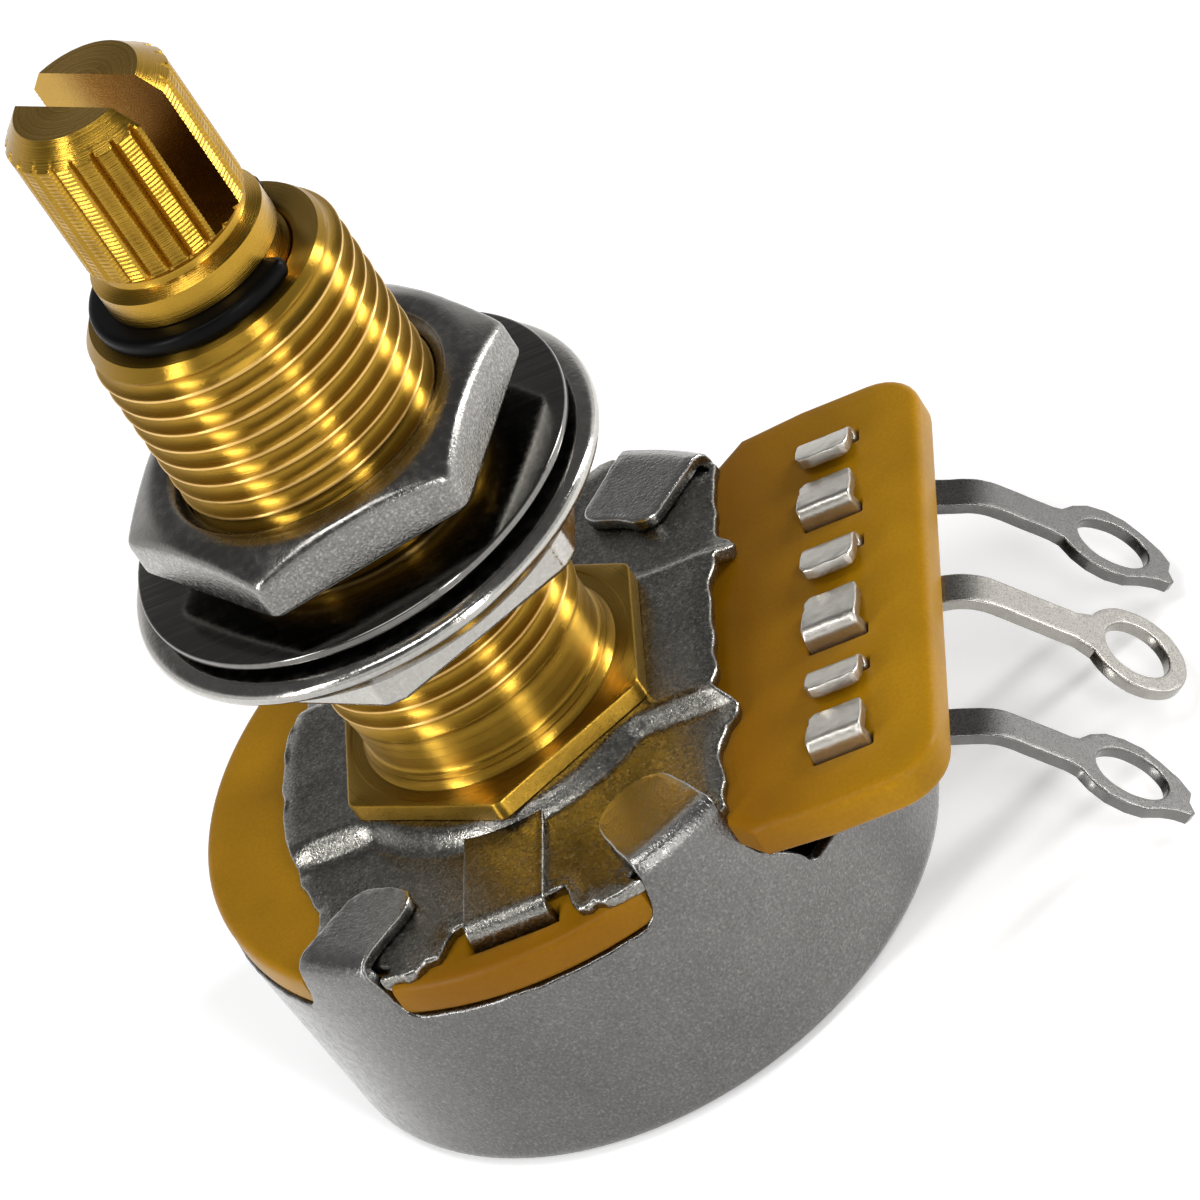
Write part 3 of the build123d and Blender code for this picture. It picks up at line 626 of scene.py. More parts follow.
def pressed_sheet(name, outline, holes, spacing, shape, thickness, edge, rough=0.0, burr=0.0, extra=None, cell=0.6):
    """Sheet cut to a flat outline and bent by a shape function, with a wall and rounded edges."""
    loops = [resample(loop, spacing) for loop in [outline, *holes]]
    widest = max(edge(0, 0), edge(99, 99)) if callable(edge) else edge
    margin = max(spacing * 0.45, widest * 1.3)
    low = np.min(np.array(loops[0]), 0)
    high = np.max(np.array(loops[0]), 0)
    grid_x, grid_y = np.meshgrid(
        np.arange(low[0] + spacing / 2, high[0], spacing), np.arange(low[1] + spacing / 2, high[1], spacing)
    )
    x, y = grid_x.ravel(), grid_y.ravel()
    keep = in_sheet(loops, x, y)
    x, y = x[keep], y[keep]
    for loop in loops:
        far = distance_to(loop, x, y) > margin
        x, y = x[far], y[far]
    points = [Vector(p) for loop in loops for p in loop] + [Vector(p) for p in zip(x.tolist(), y.tolist())]
    edges = []
    start = 0
    for loop in loops:
        edges.extend((start + i, start + (i + 1) % len(loop)) for i in range(len(loop)))
        start += len(loop)
    flat, _, triangles, _, _, _ = geometry.delaunay_2d_cdt(points, edges, [], 0, 1e-6)
    places = np.array([tuple(p) for p in flat])
    centres = places[np.array(triangles)].mean(1)
    keep = in_sheet(loops, centres[:, 0], centres[:, 1])
    faces = [tuple(t) for t, kept in zip(triangles, keep) if kept]
    from_edge = distance_to(loops[0], places[:, 0], places[:, 1])
    bent = [shape(p[0], p[1], d) for p, d in zip(places.tolist(), from_edge.tolist())]
    if extra:
        first = len(bent)
        bent += extra.points
        faces += [tuple(first + i for i in face) for face in extra.faces]
    return walled(name, bent, faces, thickness, edge, rough, burr, cell)


def smooth_step(low, high, value):
    """Smooth rise from 0 to 1 between two values."""
    t = min(1.0, max(0.0, (value - low) / (high - low)))
    return t * t * (3 - 2 * t)


def waver(x, y, z, cell):
    """Smooth noise about zero with cells of so many millimetres."""
    return noise.noise(Vector((x / cell, y / cell, z / cell)))


# Geometry Nodes


def named_input(tree, name, kind, value=None):
    """A named input of a tree."""
    made = tree.interface.new_socket(name=name, in_out="INPUT", socket_type=kind)
    if value is not None:
        made.default_value = value


def new_tree(name):
    """An empty tree that gives geometry."""
    tree = bpy.data.node_groups.new(name, "GeometryNodeTree")
    tree.interface.new_socket(name="Geometry", in_out="OUTPUT", socket_type="NodeSocketGeometry")
    return tree


def end_tree(tree, shape, finish):
    """The end of each tree: real geometry with its material."""
    real = add_node(tree, "GeometryNodeRealizeInstances", [shape])
    done = add_node(tree, "GeometryNodeSetMaterial", {"Geometry": real, "Material": finish})
    add_node(tree, "NodeGroupOutput", [done], None)


def copies_tree():
    """Copies a piece onto points, each turned and scaled by the point's own attributes."""
    tree = new_tree("copies_on_points")
    named_input(tree, "Points", "NodeSocketGeometry")
    named_input(tree, "Finish", "NodeSocketMaterial")
    named_input(tree, "Piece", "NodeSocketObject")
    named_input(tree, "Weld distance", "NodeSocketFloat", 0.0)
    get = add_node(tree, "NodeGroupInput", out=None)
    turn, factor = (
        add_node(tree, "GeometryNodeInputNamedAttribute", {"Name": name}, "Attribute", data_type="FLOAT_VECTOR")
        for name in ("turn", "factor")
    )
    copies = add_node(tree, "GeometryNodeInstanceOnPoints", {
        "Points": get["Points"],
        "Instance": add_node(tree, "GeometryNodeObjectInfo", {"Object": get["Piece"]}, "Geometry"),
        "Rotation": add_node(tree, "FunctionNodeEulerToRotation", [turn]),
        "Scale": factor,
    })
    real = add_node(tree, "GeometryNodeRealizeInstances", [copies])
    weld = add_node(tree, "GeometryNodeMergeByDistance", {"Geometry": real, "Distance": get["Weld distance"]})
    end_tree(tree, weld, get["Finish"])
    return tree


def thread_tree():
    """Winds a flat strip of turns and profile steps into a thread that runs out at both ends."""
    tree = new_tree("wound_thread")
    named_input(tree, "Finish", "NodeSocketMaterial")
    values = {
        "Pitch": 0.8 * MM,
        "Outer radius": 4.76 * MM,
        "Depth": 0.46 * MM,
        "Bottom": 14.0 * MM,
        "Top": 31.6 * MM,
        "Tip chamfer": 0.66 * MM,
        "Tip radius": 4.28 * MM,
        "Foot radius": 4.57 * MM,
        "Crest share": 0.12,
        "Valley roundness": 0.7,
    }
    for name, value in values.items():
        named_input(tree, name, "NodeSocketFloat", value)
    named_input(tree, "Steps a turn", "NodeSocketInt", 144)
    named_input(tree, "Profile steps", "NodeSocketInt", 16)
    get = add_node(tree, "NodeGroupInput", out=None)
    known = {socket.name: socket for socket in get}

    def add_steps(*steps):
        for name, operation, *inputs in steps:
            inputs = [known.get(value, value) for value in inputs]
            known[name] = add_node(tree, MATH, inputs, operation=operation)

    # One flat strip, as many turns long as the thread needs
    add_steps(
        ("length", "SUBTRACT", "Top", "Bottom"),
        ("turns", "DIVIDE", "length", "Pitch"),
        ("turns", "ADD", "turns", 2.0),
        ("turns", "CEIL", "turns"),
        ("columns", "MULTIPLY_ADD", "turns", "Steps a turn", 1.0),
        ("rows", "ADD", "Profile steps", 1.0),
    )
    strip = add_node(tree, "GeometryNodeMeshGrid", [known["turns"], 1.0, known["columns"], known["rows"]])
    parts = add_node(tree, SPLIT, [add_node(tree, "GeometryNodeInputPosition")], None)
    known.update(x=parts["X"], across=parts["Y"])
    add_steps(
        ("along", "MULTIPLY_ADD", "turns", 0.5, "x"),
        # Height, held between the thread's two ends
        ("lift", "ADD", "along", "across"),
        ("lift", "SUBTRACT", "lift", 1.0),
        ("height", "MULTIPLY_ADD", "lift", "Pitch", "Bottom"),
        ("height", "MINIMUM", "height", "Top"),
        ("height", "MAXIMUM", "height", "Bottom"),
        # A round valley between flat crests
        ("flank", "ABSOLUTE", "across"),
        ("flank", "MULTIPLY", "flank", 2.0),
        ("flank", "SUBTRACT", "flank", "Crest share"),
        ("sloped", "SUBTRACT", 1.0, "Crest share"),
        ("share", "DIVIDE", "flank", "sloped"),
        ("share", "MAXIMUM", "share", 0.0),
        ("rest", "SUBTRACT", 2.0, "share"),
        ("bowl", "MULTIPLY", "share", "rest"),
        ("bowl", "POWER", "bowl", "Valley roundness"),
        ("full depth", "MULTIPLY_ADD", "Pitch", 1.6, "Bottom"),
        ("chamfer start", "SUBTRACT", "Top", "Tip chamfer"),
    )
    height, outer, top = known["height"], known["Outer radius"], known["Top"]
    known["run out"] = add_node(
        tree, RANGE, [height, known["Bottom"], known["full depth"]], interpolation_type="SMOOTHSTEP"
    )
    known["chamfer"] = add_node(tree, RANGE, [height, known["chamfer start"], top, outer, known["Tip radius"]])
    add_steps(
        ("cut", "MULTIPLY", "bowl", "Depth"),
        ("cut", "MULTIPLY", "cut", "run out"),
        ("crest drop", "SUBTRACT", "Outer radius", "Foot radius"),
        ("at foot", "SUBTRACT", 1.0, "run out"),
        ("crest drop", "MULTIPLY", "crest drop", "at foot"),
        ("radius", "SUBTRACT", "Outer radius", "cut"),
        ("radius", "SUBTRACT", "radius", "crest drop"),
        ("radius", "MINIMUM", "radius", "chamfer"),
        ("angle", "MULTIPLY", "along", 2 * pi),
        ("cosine", "COSINE", "angle"),
        ("sine", "SINE", "angle"),
        ("x", "MULTIPLY", "radius", "cosine"),
        ("y", "MULTIPLY", "radius", "sine"),
    )
    place = add_node(tree, JOIN, [known["x"], known["y"], height])
    wound = add_node(tree, "GeometryNodeSetPosition", {"Geometry": strip, "Position": place})
    weld = add_node(tree, "GeometryNodeMergeByDistance", {"Geometry": wound, "Distance": 0.002 * MM})
    end_tree(tree, weld, get["Finish"])
    return tree


def run_tree(made, tree, values):
    """The object's mesh after a tree with these values for its named inputs."""
    modifier = made.modifiers.new("tree", "NODES")
    modifier.node_group = tree
    for item in tree.interface.items_tree:
        if item.in_out == "INPUT" and item.name in values:
            modifier[item.identifier] = values[item.name]
    return apply_modifiers(made)


def copies_of(name, source, places, finish, weld=0.0):
    """Copies of an object at places given as point, turn and factor; the source goes away."""
    mesh = bpy.data.meshes.new(name)
    mesh.from_pydata([tuple(c * MM for c in place[0]) for place in places], [], [])
    for index, key in ((1, "turn"), (2, "factor")):
        values = mesh.attributes.new(key, "FLOAT_VECTOR", "POINT")
        values.data.foreach_set("vector", [c for place in places for c in place[index]])
    made = new_object(name, mesh)
    run_tree(made, copies_tree(), {"Piece": source, "Finish": finish, "Weld distance": weld * MM})
    bpy.data.objects.remove(source)
    return made


# Brass pieces


def hexagon_radius(flats, angle, turn, softness):
    """Radius of a hexagon with slightly soft corners at an angle."""
    total = 0.0
    for k in range(6):
        share = cos(angle - turn - radians(30 + 60 * k)) / (flats / 2)
        if share > 0:
            total += share**softness
    return total ** (-1 / softness)


def make_bushing(finish):
    """Bushing: bored turned body, hexagon foot and a wound thread."""
    relief_radius, tip_radius, bore = 4.57, 4.28, 3.24
    thread_bottom = PLATE_TOP + 2.4
    hex_top = PLATE_TOP + 0.74
    steps = 144
    low, top = BUSHING_BOTTOM, BUSHING_TOP
    outline = [
        (bore, low), (5.0, low), (5.0, PLATE_TOP - 0.55), (4.2, PLATE_TOP - 0.55), (4.2, hex_top - 0.1),
        (4.86, hex_top - 0.02), (4.74, hex_top + 0.1), (4.72, hex_top + 0.3), (4.66, hex_top + 0.33),
        (4.65, hex_top + 0.52), (4.58, hex_top + 0.56)
    ]
    marks = 9
    for k in range(marks):
        level = hex_top + 0.62 + (thread_bottom - hex_top - 0.62) * k / marks
        outline.append((relief_radius - 0.045 * abs(waver(level, 3.0, 1.0, 0.22)), level))
    outline.append((relief_radius, thread_bottom))
    mouth = [(tip_radius, top), (bore + 0.28, top), (bore + 0.12, top - 0.05), (bore, top - 0.2), (bore, low)]
    body = Solid()
    body.add_turned(outline, steps)
    body.add_turned(mouth, steps)
    turned = body.show("bushing_body")
    thread = new_object("bushing_thread", bpy.data.meshes.new("bushing_thread"))
    run_tree(
        thread,
        thread_tree(),
        {
            "Finish": finish,
            "Pitch": sizes().thread_pitch * MM,
            "Outer radius": THREAD_RADIUS * MM,
            "Depth": sizes().thread_depth * MM,
            "Bottom": thread_bottom * MM,
            "Top": top * MM,
            "Tip radius": tip_radius * MM,
            "Foot radius": relief_radius * MM,
            "Steps a turn": steps,
        },
    )
    turn = radians(32.8)
    flats = 6.4 * 2 * cos(radians(30))

    def foot_section(angle):
        outer = hexagon_radius(flats, angle, turn, 70.0)
        upper = [(outer, hex_top), (5.35, hex_top), (5.3, hex_top - 0.03), (4.1, hex_top - 0.03)]
        return rounded([(4.1, PLATE_TOP), (outer, PLATE_TOP), *upper], [0, 0.05, 0.09, 0.02, 0.02, 0], 3)

    foot = Solid()
    foot.add_turned(foot_section, 360, closed=True)
    made = join(turned, thread, foot.show("bushing_foot"))
    made.name = "bushing_brass"
    clean(made.data, 0.003)
    return finish_piece(made, "case", ["bushing"], finish, 40)


def make_shaft(finish):
    """Shaft: turned body, a knurl of repeated teeth with fine cross ridges, and the slot."""
    collar_top = RING_TOP + 1.1
    knurl_bottom = collar_top + 0.77
    low, tip = SHAFT_BOTTOM, SHAFT_TOP
    knurl_top = tip - 0.77
    journal, groove, neck, knurl, depth, tip_radius = 3.2, 2.8, 2.7, 3.03, 0.27, 2.3
    ridge, ridge_depth, flare = sizes().knurl_ridge_pitch, 0.042, 0.28
    teeth = sizes().knurl_teeth
    steps = 10
    half = pi / teeth
    heights = [knurl_bottom - flare, knurl_bottom - flare / 2]
    count = int((knurl_top - knurl_bottom) / ridge) * 4
    heights += [knurl_bottom + (knurl_top - knurl_bottom) * k / count for k in range(count + 1)]
    heights += [knurl_top + (tip - knurl_top) * k / 8 for k in range(1, 9)]
    rows = []
    for z in heights:
        row = []
        for j in range(steps + 1):
            side = 2 * j / steps - 1
            share = abs(side)
            radius = knurl - depth * 0.8 * max(0.0, (share - 0.66) / 0.34)
            if knurl_bottom < z < knurl_top:
                wave = 0.5 - 0.5 * cos(2 * pi * (z - knurl_bottom) / ridge)
                radius -= ridge_depth * wave * (1 - share * 0.6)
            if z > knurl_top:
                radius = min(radius, knurl - (knurl - tip_radius) * (z - knurl_top) / (tip - knurl_top))
            if z <= knurl_bottom:
                edge = (knurl_bottom - z) / flare
                radius = max(neck, min(radius, knurl - 0.1 - (knurl - neck - 0.1) * edge))
            row.append((radius * cos(half * side), radius * sin(half * side), z))
        rows.append(row)
    rows.append([(0.0, 0.0, tip)] * (steps + 1))
    tooth = Solid()
    tooth.add_grid(rows)
    source = tooth.show("knurl_tooth", 0.0001)
    places = [((0, 0, 0), (0, 0, 2 * pi * k / teeth), (1, 1, 1)) for k in range(teeth)]
    knurled = copies_of("shaft_knurl", source, places, finish, 0.002)
    profile = [
        (0, low), (2.6, low), (3.1, low + 0.5), (2.6, low + 0.5), (2.6, BOARD_BOTTOM), (journal, BOARD_BOTTOM),
        (journal, RING_BOTTOM), (groove, RING_BOTTOM), (groove, RING_TOP), (journal - 0.04, RING_TOP),
        (journal, RING_TOP + 0.05), (journal, collar_top - 0.03), (journal - 0.04, collar_top),
        (neck + 0.25, collar_top + 0.1), (neck + 0.05, collar_top + 0.25), (neck, collar_top + 0.4),
        (neck, knurl_bottom - 0.28)
    ]
    body = Solid()
    body.add_turned(profile, teeth * steps, -half)
    made = join(body.show("shaft_body", 0.0001), knurled)
    clean(made.data, 0.003)
    saw_floor = knurl_bottom + 0.05
    place = (
        Matrix.Rotation(sizes().slot_angle, 4, "Z")
        @ Matrix.Translation((0, 0, (saw_floor + 4) * MM))
        @ Matrix.Diagonal((9 * MM, sizes().slot_width * MM, 8 * MM, 1))
    )
    cutter = new_object("slot_saw", bpy.data.meshes.new("slot_saw"))
    with editing(cutter.data) as work:
        bmesh.ops.create_cube(work, size=1.0, matrix=place)
    cut = made.modifiers.new("slot", "BOOLEAN")
    cut.operation = "DIFFERENCE"
    cut.solver = "EXACT"
    cut.object = cutter
    apply_modifiers(made)
    bpy.data.objects.remove(cutter)
    drop_slivers(made.data)
    made.name = "shaft_brass"
    return finish_piece(made, "shaft", ["shaft"], finish, 28)


def make_retaining_ring(finish):
    """Retaining ring: open spring ring with round edges and blunt ends."""
    low, high = RING_BOTTOM, RING_TOP
    inner, outer = 2.8, 3.95
    middle, half = radians(12.0), radians(38.0)
    section = rounded([(inner, low), (outer, low), (outer, high), (inner, high)], 0.24)
    steps = 120
    centre = Vector(((inner + outer) / 2, (low + high) / 2))
    rows = []
    for i in range(steps + 1):
        angle = middle + half + (2 * pi - 2 * half) * i / steps
        shrink = (0.0, 0.72, 0.92, 1.0)[min(i, steps - i, 3)]
        spots = [centre.lerp(Vector(point), shrink) for point in section]
        rows.append([(r * cos(angle), r * sin(angle), z) for r, z in spots])
    ring = Solid()
    ring.add_grid(rows, closed_columns=True)
    made = ring.show("retaining_ring_black")
    return finish_piece(made, "shaft", ["retaining_ring"], finish, 50)


# Nuts and washer


def make_ring_piece(name, node, section, steps, finish):
    """One ring-shaped piece from its section."""
    solid = Solid()
    solid.add_turned(section, steps, closed=True)
    return finish_piece(solid.show(name), node, [node], finish, 40)


def make_front_nut(finish):
    """Front nut: hexagon with heavy soft bevels and a countersunk bore."""
    low, high = (corner.z for corner in box_mm("hex_nut"))
    flats, turn, bore, top_radius = 12.7, radians(14.6), 4.8, 5.9
    corner_height = 1.5
    corner_radius = flats / 2 / cos(radians(30))
    slope = (high - low - corner_height) / (corner_radius - top_radius)

    def section(angle):
        outer = hexagon_radius(flats, angle, turn, 60.0)
        shoulder = high - max(0.0, outer - top_radius) * slope
        sides = [(bore, low), (outer - 0.16, low), (outer, low + 0.14), (outer, shoulder)]
        mouth = [(top_radius, high), (bore + 0.42, high), (bore, high - 0.35)]
        return rounded(sides + mouth, [0.02, 0.12, 0.12, 0.3, 0.35, 0.12, 0.05])

    return make_ring_piece("front_nut", "hex_nut", section, 480, finish)


def make_flange_nut(finish):
    """Flange nut: soft hexagon under a wide domed flange with a raised seat."""
    (_, rim, high), low = box_mm("flange_nut")[1], box_mm("flange_nut")[0].z
    flats, turn, bore = 13.3, radians(30.0), 4.8

    def section(angle):
        outer = min(hexagon_radius(flats, angle, turn, 90.0), 7.47)
        hexagon = [(bore + 0.35, low), (outer - 0.18, low), (outer, low + 0.15), (outer, low + 1.2)]
        flange = [(max(7.5, outer + 0.02), low + 1.22), (rim, low + 2.4), (rim - 0.08, low + 2.78)]
        seat = [(8.2, low + 2.95), (6.25, low + 2.95), (6.2, high), (bore, high), (bore, low + 0.35)]
        radii = [0.05, 0.14, 0.14, 0.1, 0.12, 0.3, 0.2, 0.3, 0.1, 0.06, 0.02, 0.1]
        return rounded(hexagon + flange + seat, radii)

    return make_ring_piece("flange_nut_plated", "flange_nut", section, 480, finish)


def make_dress_washer(finish):
    """Dress washer: thin polished ring with burnished edges."""
    low, high = (corner.z for corner in box_mm("dress_washer"))
    outer, inner = box_mm("dress_washer")[1].y, 4.95
    section = rounded([(inner, low), (outer, low), (outer, high), (inner, high)], 0.09, 3)
    return make_ring_piece("dress_washer_polished", "dress_washer", section, 256, finish)


# Pressed sheet pieces


def arc_points(centre, radius, start, end, steps):
    """Points along an arc, angles in degrees."""
    return [
        (centre[0] + radius * cos(radians(start + (end - start) * k / steps)),
         centre[1] + radius * sin(radians(start + (end - start) * k / steps)))
        for k in range(steps + 1)
    ]


def tab_outline(middle, rim, reach, tip_left, tip_right, neck, tip_round):
    """Right-to-left outline of one tab above the rim, in distance round the cover and up its sheet."""
    width, foot, foot_by_window = 1.8, 2.5, 1.82
    right = foot_by_window if -15 < middle < 0 else foot
    left = foot_by_window if 0 < middle < 15 else foot
    path = [
        (right, rim), (min(right, width + 0.3), rim + 0.3), (width, rim + 1.3), (width - neck, rim + 2.7),
        (tip_right, reach), (tip_left, reach), (-width, rim + 1.3), (-min(left, width + 0.3), rim + 0.3),
        (-left, rim)
    ]
    soft = rounded(path, [0, 0.5, 0.7, 0.9, tip_round, tip_round, 0.7, 0.5, 0], 5)
    return [(middle + x, y) for x, y in soft]


def make_cover(finish):
    """Cover: drawn cup with a lathe-smooth back, a torn rim and four tabs bent over the plate."""
    radius, top, rim_level = COVER_RADIUS, COVER_TOP, BOARD_BOTTOM
    wall_start, bend, taper = 1.0, 0.65, 0.49
    rim = rim_level - wall_start
    bend_start = top - bend - wall_start
    half_turn = pi * radius
    reach = bend_start + bend * pi / 2 + 3.1
    looks = dict(zip(TAB_ANGLES, (
        (-1.5, 1.7, 0.0, 0.75),
        (-1.7, 1.5, 0.0, 0.75),
        (-0.9, 1.9, 0.55, 1.3),
        (-1.45, 1.45, 0.0, 1.4),
    )))

    def arc(angle):
        return radians(angle) * radius

    def rim_run(start, end):
        count = max(2, int(abs(end - start) / 0.5))
        run = [start + (end - start) * k / count for k in range(1, count)]
        return [(a, rim + 0.05 * waver(a, 3.0, 0.0, 0.9)) for a in run]

    steps = 216
    outline = [(-half_turn + 2 * half_turn * k / steps, 0.0) for k in range(steps + 1)]
    outline.append((half_turn, rim))
    position = half_turn
    for angle in (122.5, 57.5):
        tab = tab_outline(arc(angle), rim, reach, *looks[angle])
        outline += rim_run(position, tab[0][0]) + tab
        position = tab[-1][0]
    side = [(arc(47.6), rim - 0.7), (arc(42.0), rim - 1.9), (arc(40.2), rim - 2.85)]
    window = [(position, rim), *side, *[(-x, y) for x, y in reversed(side)], (-position, rim)]
    outline += rounded(window, [0, 0.3, 0.8, 0.3, 0.3, 0.8, 0.3, 0])
    position = -position
    for angle in (-57.5, -122.5):
        tab = tab_outline(arc(angle), rim, reach, *looks[angle])
        if angle < -100:
            outline += rim_run(position, tab[0][0])
        outline += tab
        position = tab[-1][0]
    outline += rim_run(position, -half_turn)
    outline.append((-half_turn, rim))

    def shape(a, s, _):
        angle = a / radius
        if s <= rim:
            level = wall_start + s
            r = radius - taper * (1 - level / rim_level)
            return (r * cos(angle), r * sin(angle), level)
        middle = radians(min(TAB_ANGLES, key=lambda t: abs(radians(t) - angle)))
        across = radius * sin(angle - middle)
        along = radius * cos(angle - middle)
        level = wall_start + s
        if s > bend_start:
            turn = min((s - bend_start) / bend, pi / 2)
            flat = max(0.0, s - bend_start - bend * pi / 2)
            along -= bend * (1 - cos(turn)) + flat
            level = top - bend + bend * sin(turn)
        return (
            along * cos(middle) - across * sin(middle),
            along * sin(middle) + across * cos(middle),
            level,
        )

    corner = 0.8
    edge = radius - taper - corner
    lean = taper / rim_level
    profile = [(r, 0.0) for r in (0.0, 2.0, 5.0, 8.0, 10.2)]
    for k in range(9):
        turn = pi / 2 * k / 8
        profile.append((edge + corner * sin(turn) + lean * corner * (k / 8), corner * (1 - cos(turn))))
    profile.append((radius - taper * (1 - wall_start / rim_level), wall_start))
    back = Solid()
    back.add_turned(profile, steps, -pi)
    sheet, sheet_edge = sizes().cover_sheet, sizes().sheet_edge
    made = pressed_sheet(
        "cover_pressed", outline, [], 0.36, shape, sheet, sheet_edge, rough=0.05, burr=0.06, extra=back
    )
    return finish_piece(made, "case", ["cover"], finish, 35)


def make_front_plate(finish):
    """Front plate: dark pressed sheet with a raised band, a round boss, wavy sheared edges and the stop tongue."""
    radius = 12.05
    low_top = BOARD_TOP + sizes().plate_sheet
    rise = PLATE_TOP - low_top
    band, boss = 3.8, 6.2
    half = [
        (8.1, 0.0), (8.15, -2.4), (8.1, -3.3), (8.55, -3.85), (8.75, -4.15), (8.6, -4.5), (8.2, -5.0), (8.0, -5.9),
        (8.1, -8.9), (7.7, -9.25)
    ]
    left = [
        (-7.25, -8.9), (-7.3, -6.4), (-7.6, -5.5), (-8.0, -4.7), (-8.0, -4.0), (-8.3, -2.9), (-8.5, -1.6),
        (-8.5, 0.0)
    ]
    tab_flat, notch = 11.42, 1.95

    def tab_seat(angle):
        x, y = cos(radians(angle)), sin(radians(angle))
        return [(tab_flat * x - side * y, tab_flat * y + side * x) for side in (notch, -notch)]

    front = tab_seat(-57.5)
    front += [(x, -sqrt(radius**2 - x**2)) for x in (4.9, 4.5, 4.1)]
    front += [(3.6, -11.35), (3.2, -11.15), (2.95, -11.3), (2.6, -11.2), (2.3, -10.6), (2.05, -9.95)]
    front += [(-2.05, -9.95), (-2.4, -10.5), (-2.7, -10.9), (-3.1, -10.95), (-3.5, -11.3)]
    front += [(x, -sqrt(radius**2 - x**2)) for x in (-3.9, -4.4, -4.9)]
    front += tab_seat(-122.5)
    lower = half + front + left
    upper = [(x, -y) for x, y in reversed(lower[1:-1])]
    hole = arc_points((0, 0), 4.75, 0, 360, 72)[:-1]

    def height(x, y, edge):
        across = smooth_step(band + 0.5, band - 0.4, abs(y) + 0.06 * waver(x, y, 0.0, 2.0))
        round_part = smooth_step(boss + 0.5, boss - 0.4, hypot(x, y))
        level = low_top + rise * (1 - (1 - across) * (1 - round_part))
        level -= 0.12 * exp(-((edge / 0.35) ** 2))
        level += 0.02 * waver(x, y, 5.0, 1.6) - 0.02
        return (x, y, min(level, PLATE_TOP))

    sheet = sizes().plate_sheet
    made = pressed_sheet(
        "front_plate_pressed", lower + upper, [hole], 0.16, height, sheet, 0.14, rough=0.2, burr=0.08, cell=1.15
    )
    tongue_start, tongue_face = -5.9, -10.75
    step_up = low_top + 0.25
    bend = 0.5
    drop = 3.6
    flat_run = tongue_start - (tongue_face + bend)
    length = flat_run + bend * pi / 2 + drop

    def tongue_shape(x, s, _):
        if s <= flat_run:
            y, z = tongue_start - s, step_up
        else:
            turn = min((s - flat_run) / bend, pi / 2)
            y = tongue_face + bend - bend * sin(turn)
            z = step_up - bend * (1 - cos(turn)) - max(0.0, s - flat_run - bend * pi / 2)
        return (-x, y, z)

    strip = [(-1.5, 0.0), (1.5, 0.0), (1.52, 2.0), (1.5, length), (-1.5, length), (-1.52, 2.0)]
    strip = rounded(strip, 0.2, 3)
    tongue = pressed_sheet("tongue", strip, [], 0.2, tongue_shape, sheet, 0.08, rough=0.02)
    join(made, tongue)
    return finish_piece(made, "case", ["front_plate"], finish, 62)


def path_shape(path, bend):
    """A function from distance along a bent path to a point in two axes, and the path's length."""
    points = [Vector(p) for p in path]
    directions = [(end - start).normalized() for start, end in zip(points, points[1:])]
    turns = [before.angle_signed(after) for before, after in zip(directions, directions[1:])]
    cuts = [0.0, *(abs(bend * sin(turn / 2) / cos(turn / 2)) for turn in turns), 0.0]
    segments = []
    total = 0.0
    for i, direction in enumerate(directions):
        start = points[i] + direction * cuts[i]
        length = (points[i + 1] - points[i]).length - cuts[i] - cuts[i + 1]
        segments.append((total, length, start, direction, 0.0))
        total += length
        if i < len(turns):
            segments.append((total, abs(turns[i]) * bend, start + direction * length, direction, -turns[i]))
            total += abs(turns[i]) * bend

    def at(s):
        begin, _, start, direction, turn = next(
            (segment for segment in segments if s <= segment[0] + segment[1] + 1e-9), segments[-1]
        )
        gone = s - begin
        if not turn:
            return start + direction * gone
        side = 1 if turn > 0 else -1
        centre = start + Vector((-direction.y, direction.x)) * side * bend
        return centre + Matrix.Rotation(gone / bend * side, 2) @ (start - centre)

    return at, total


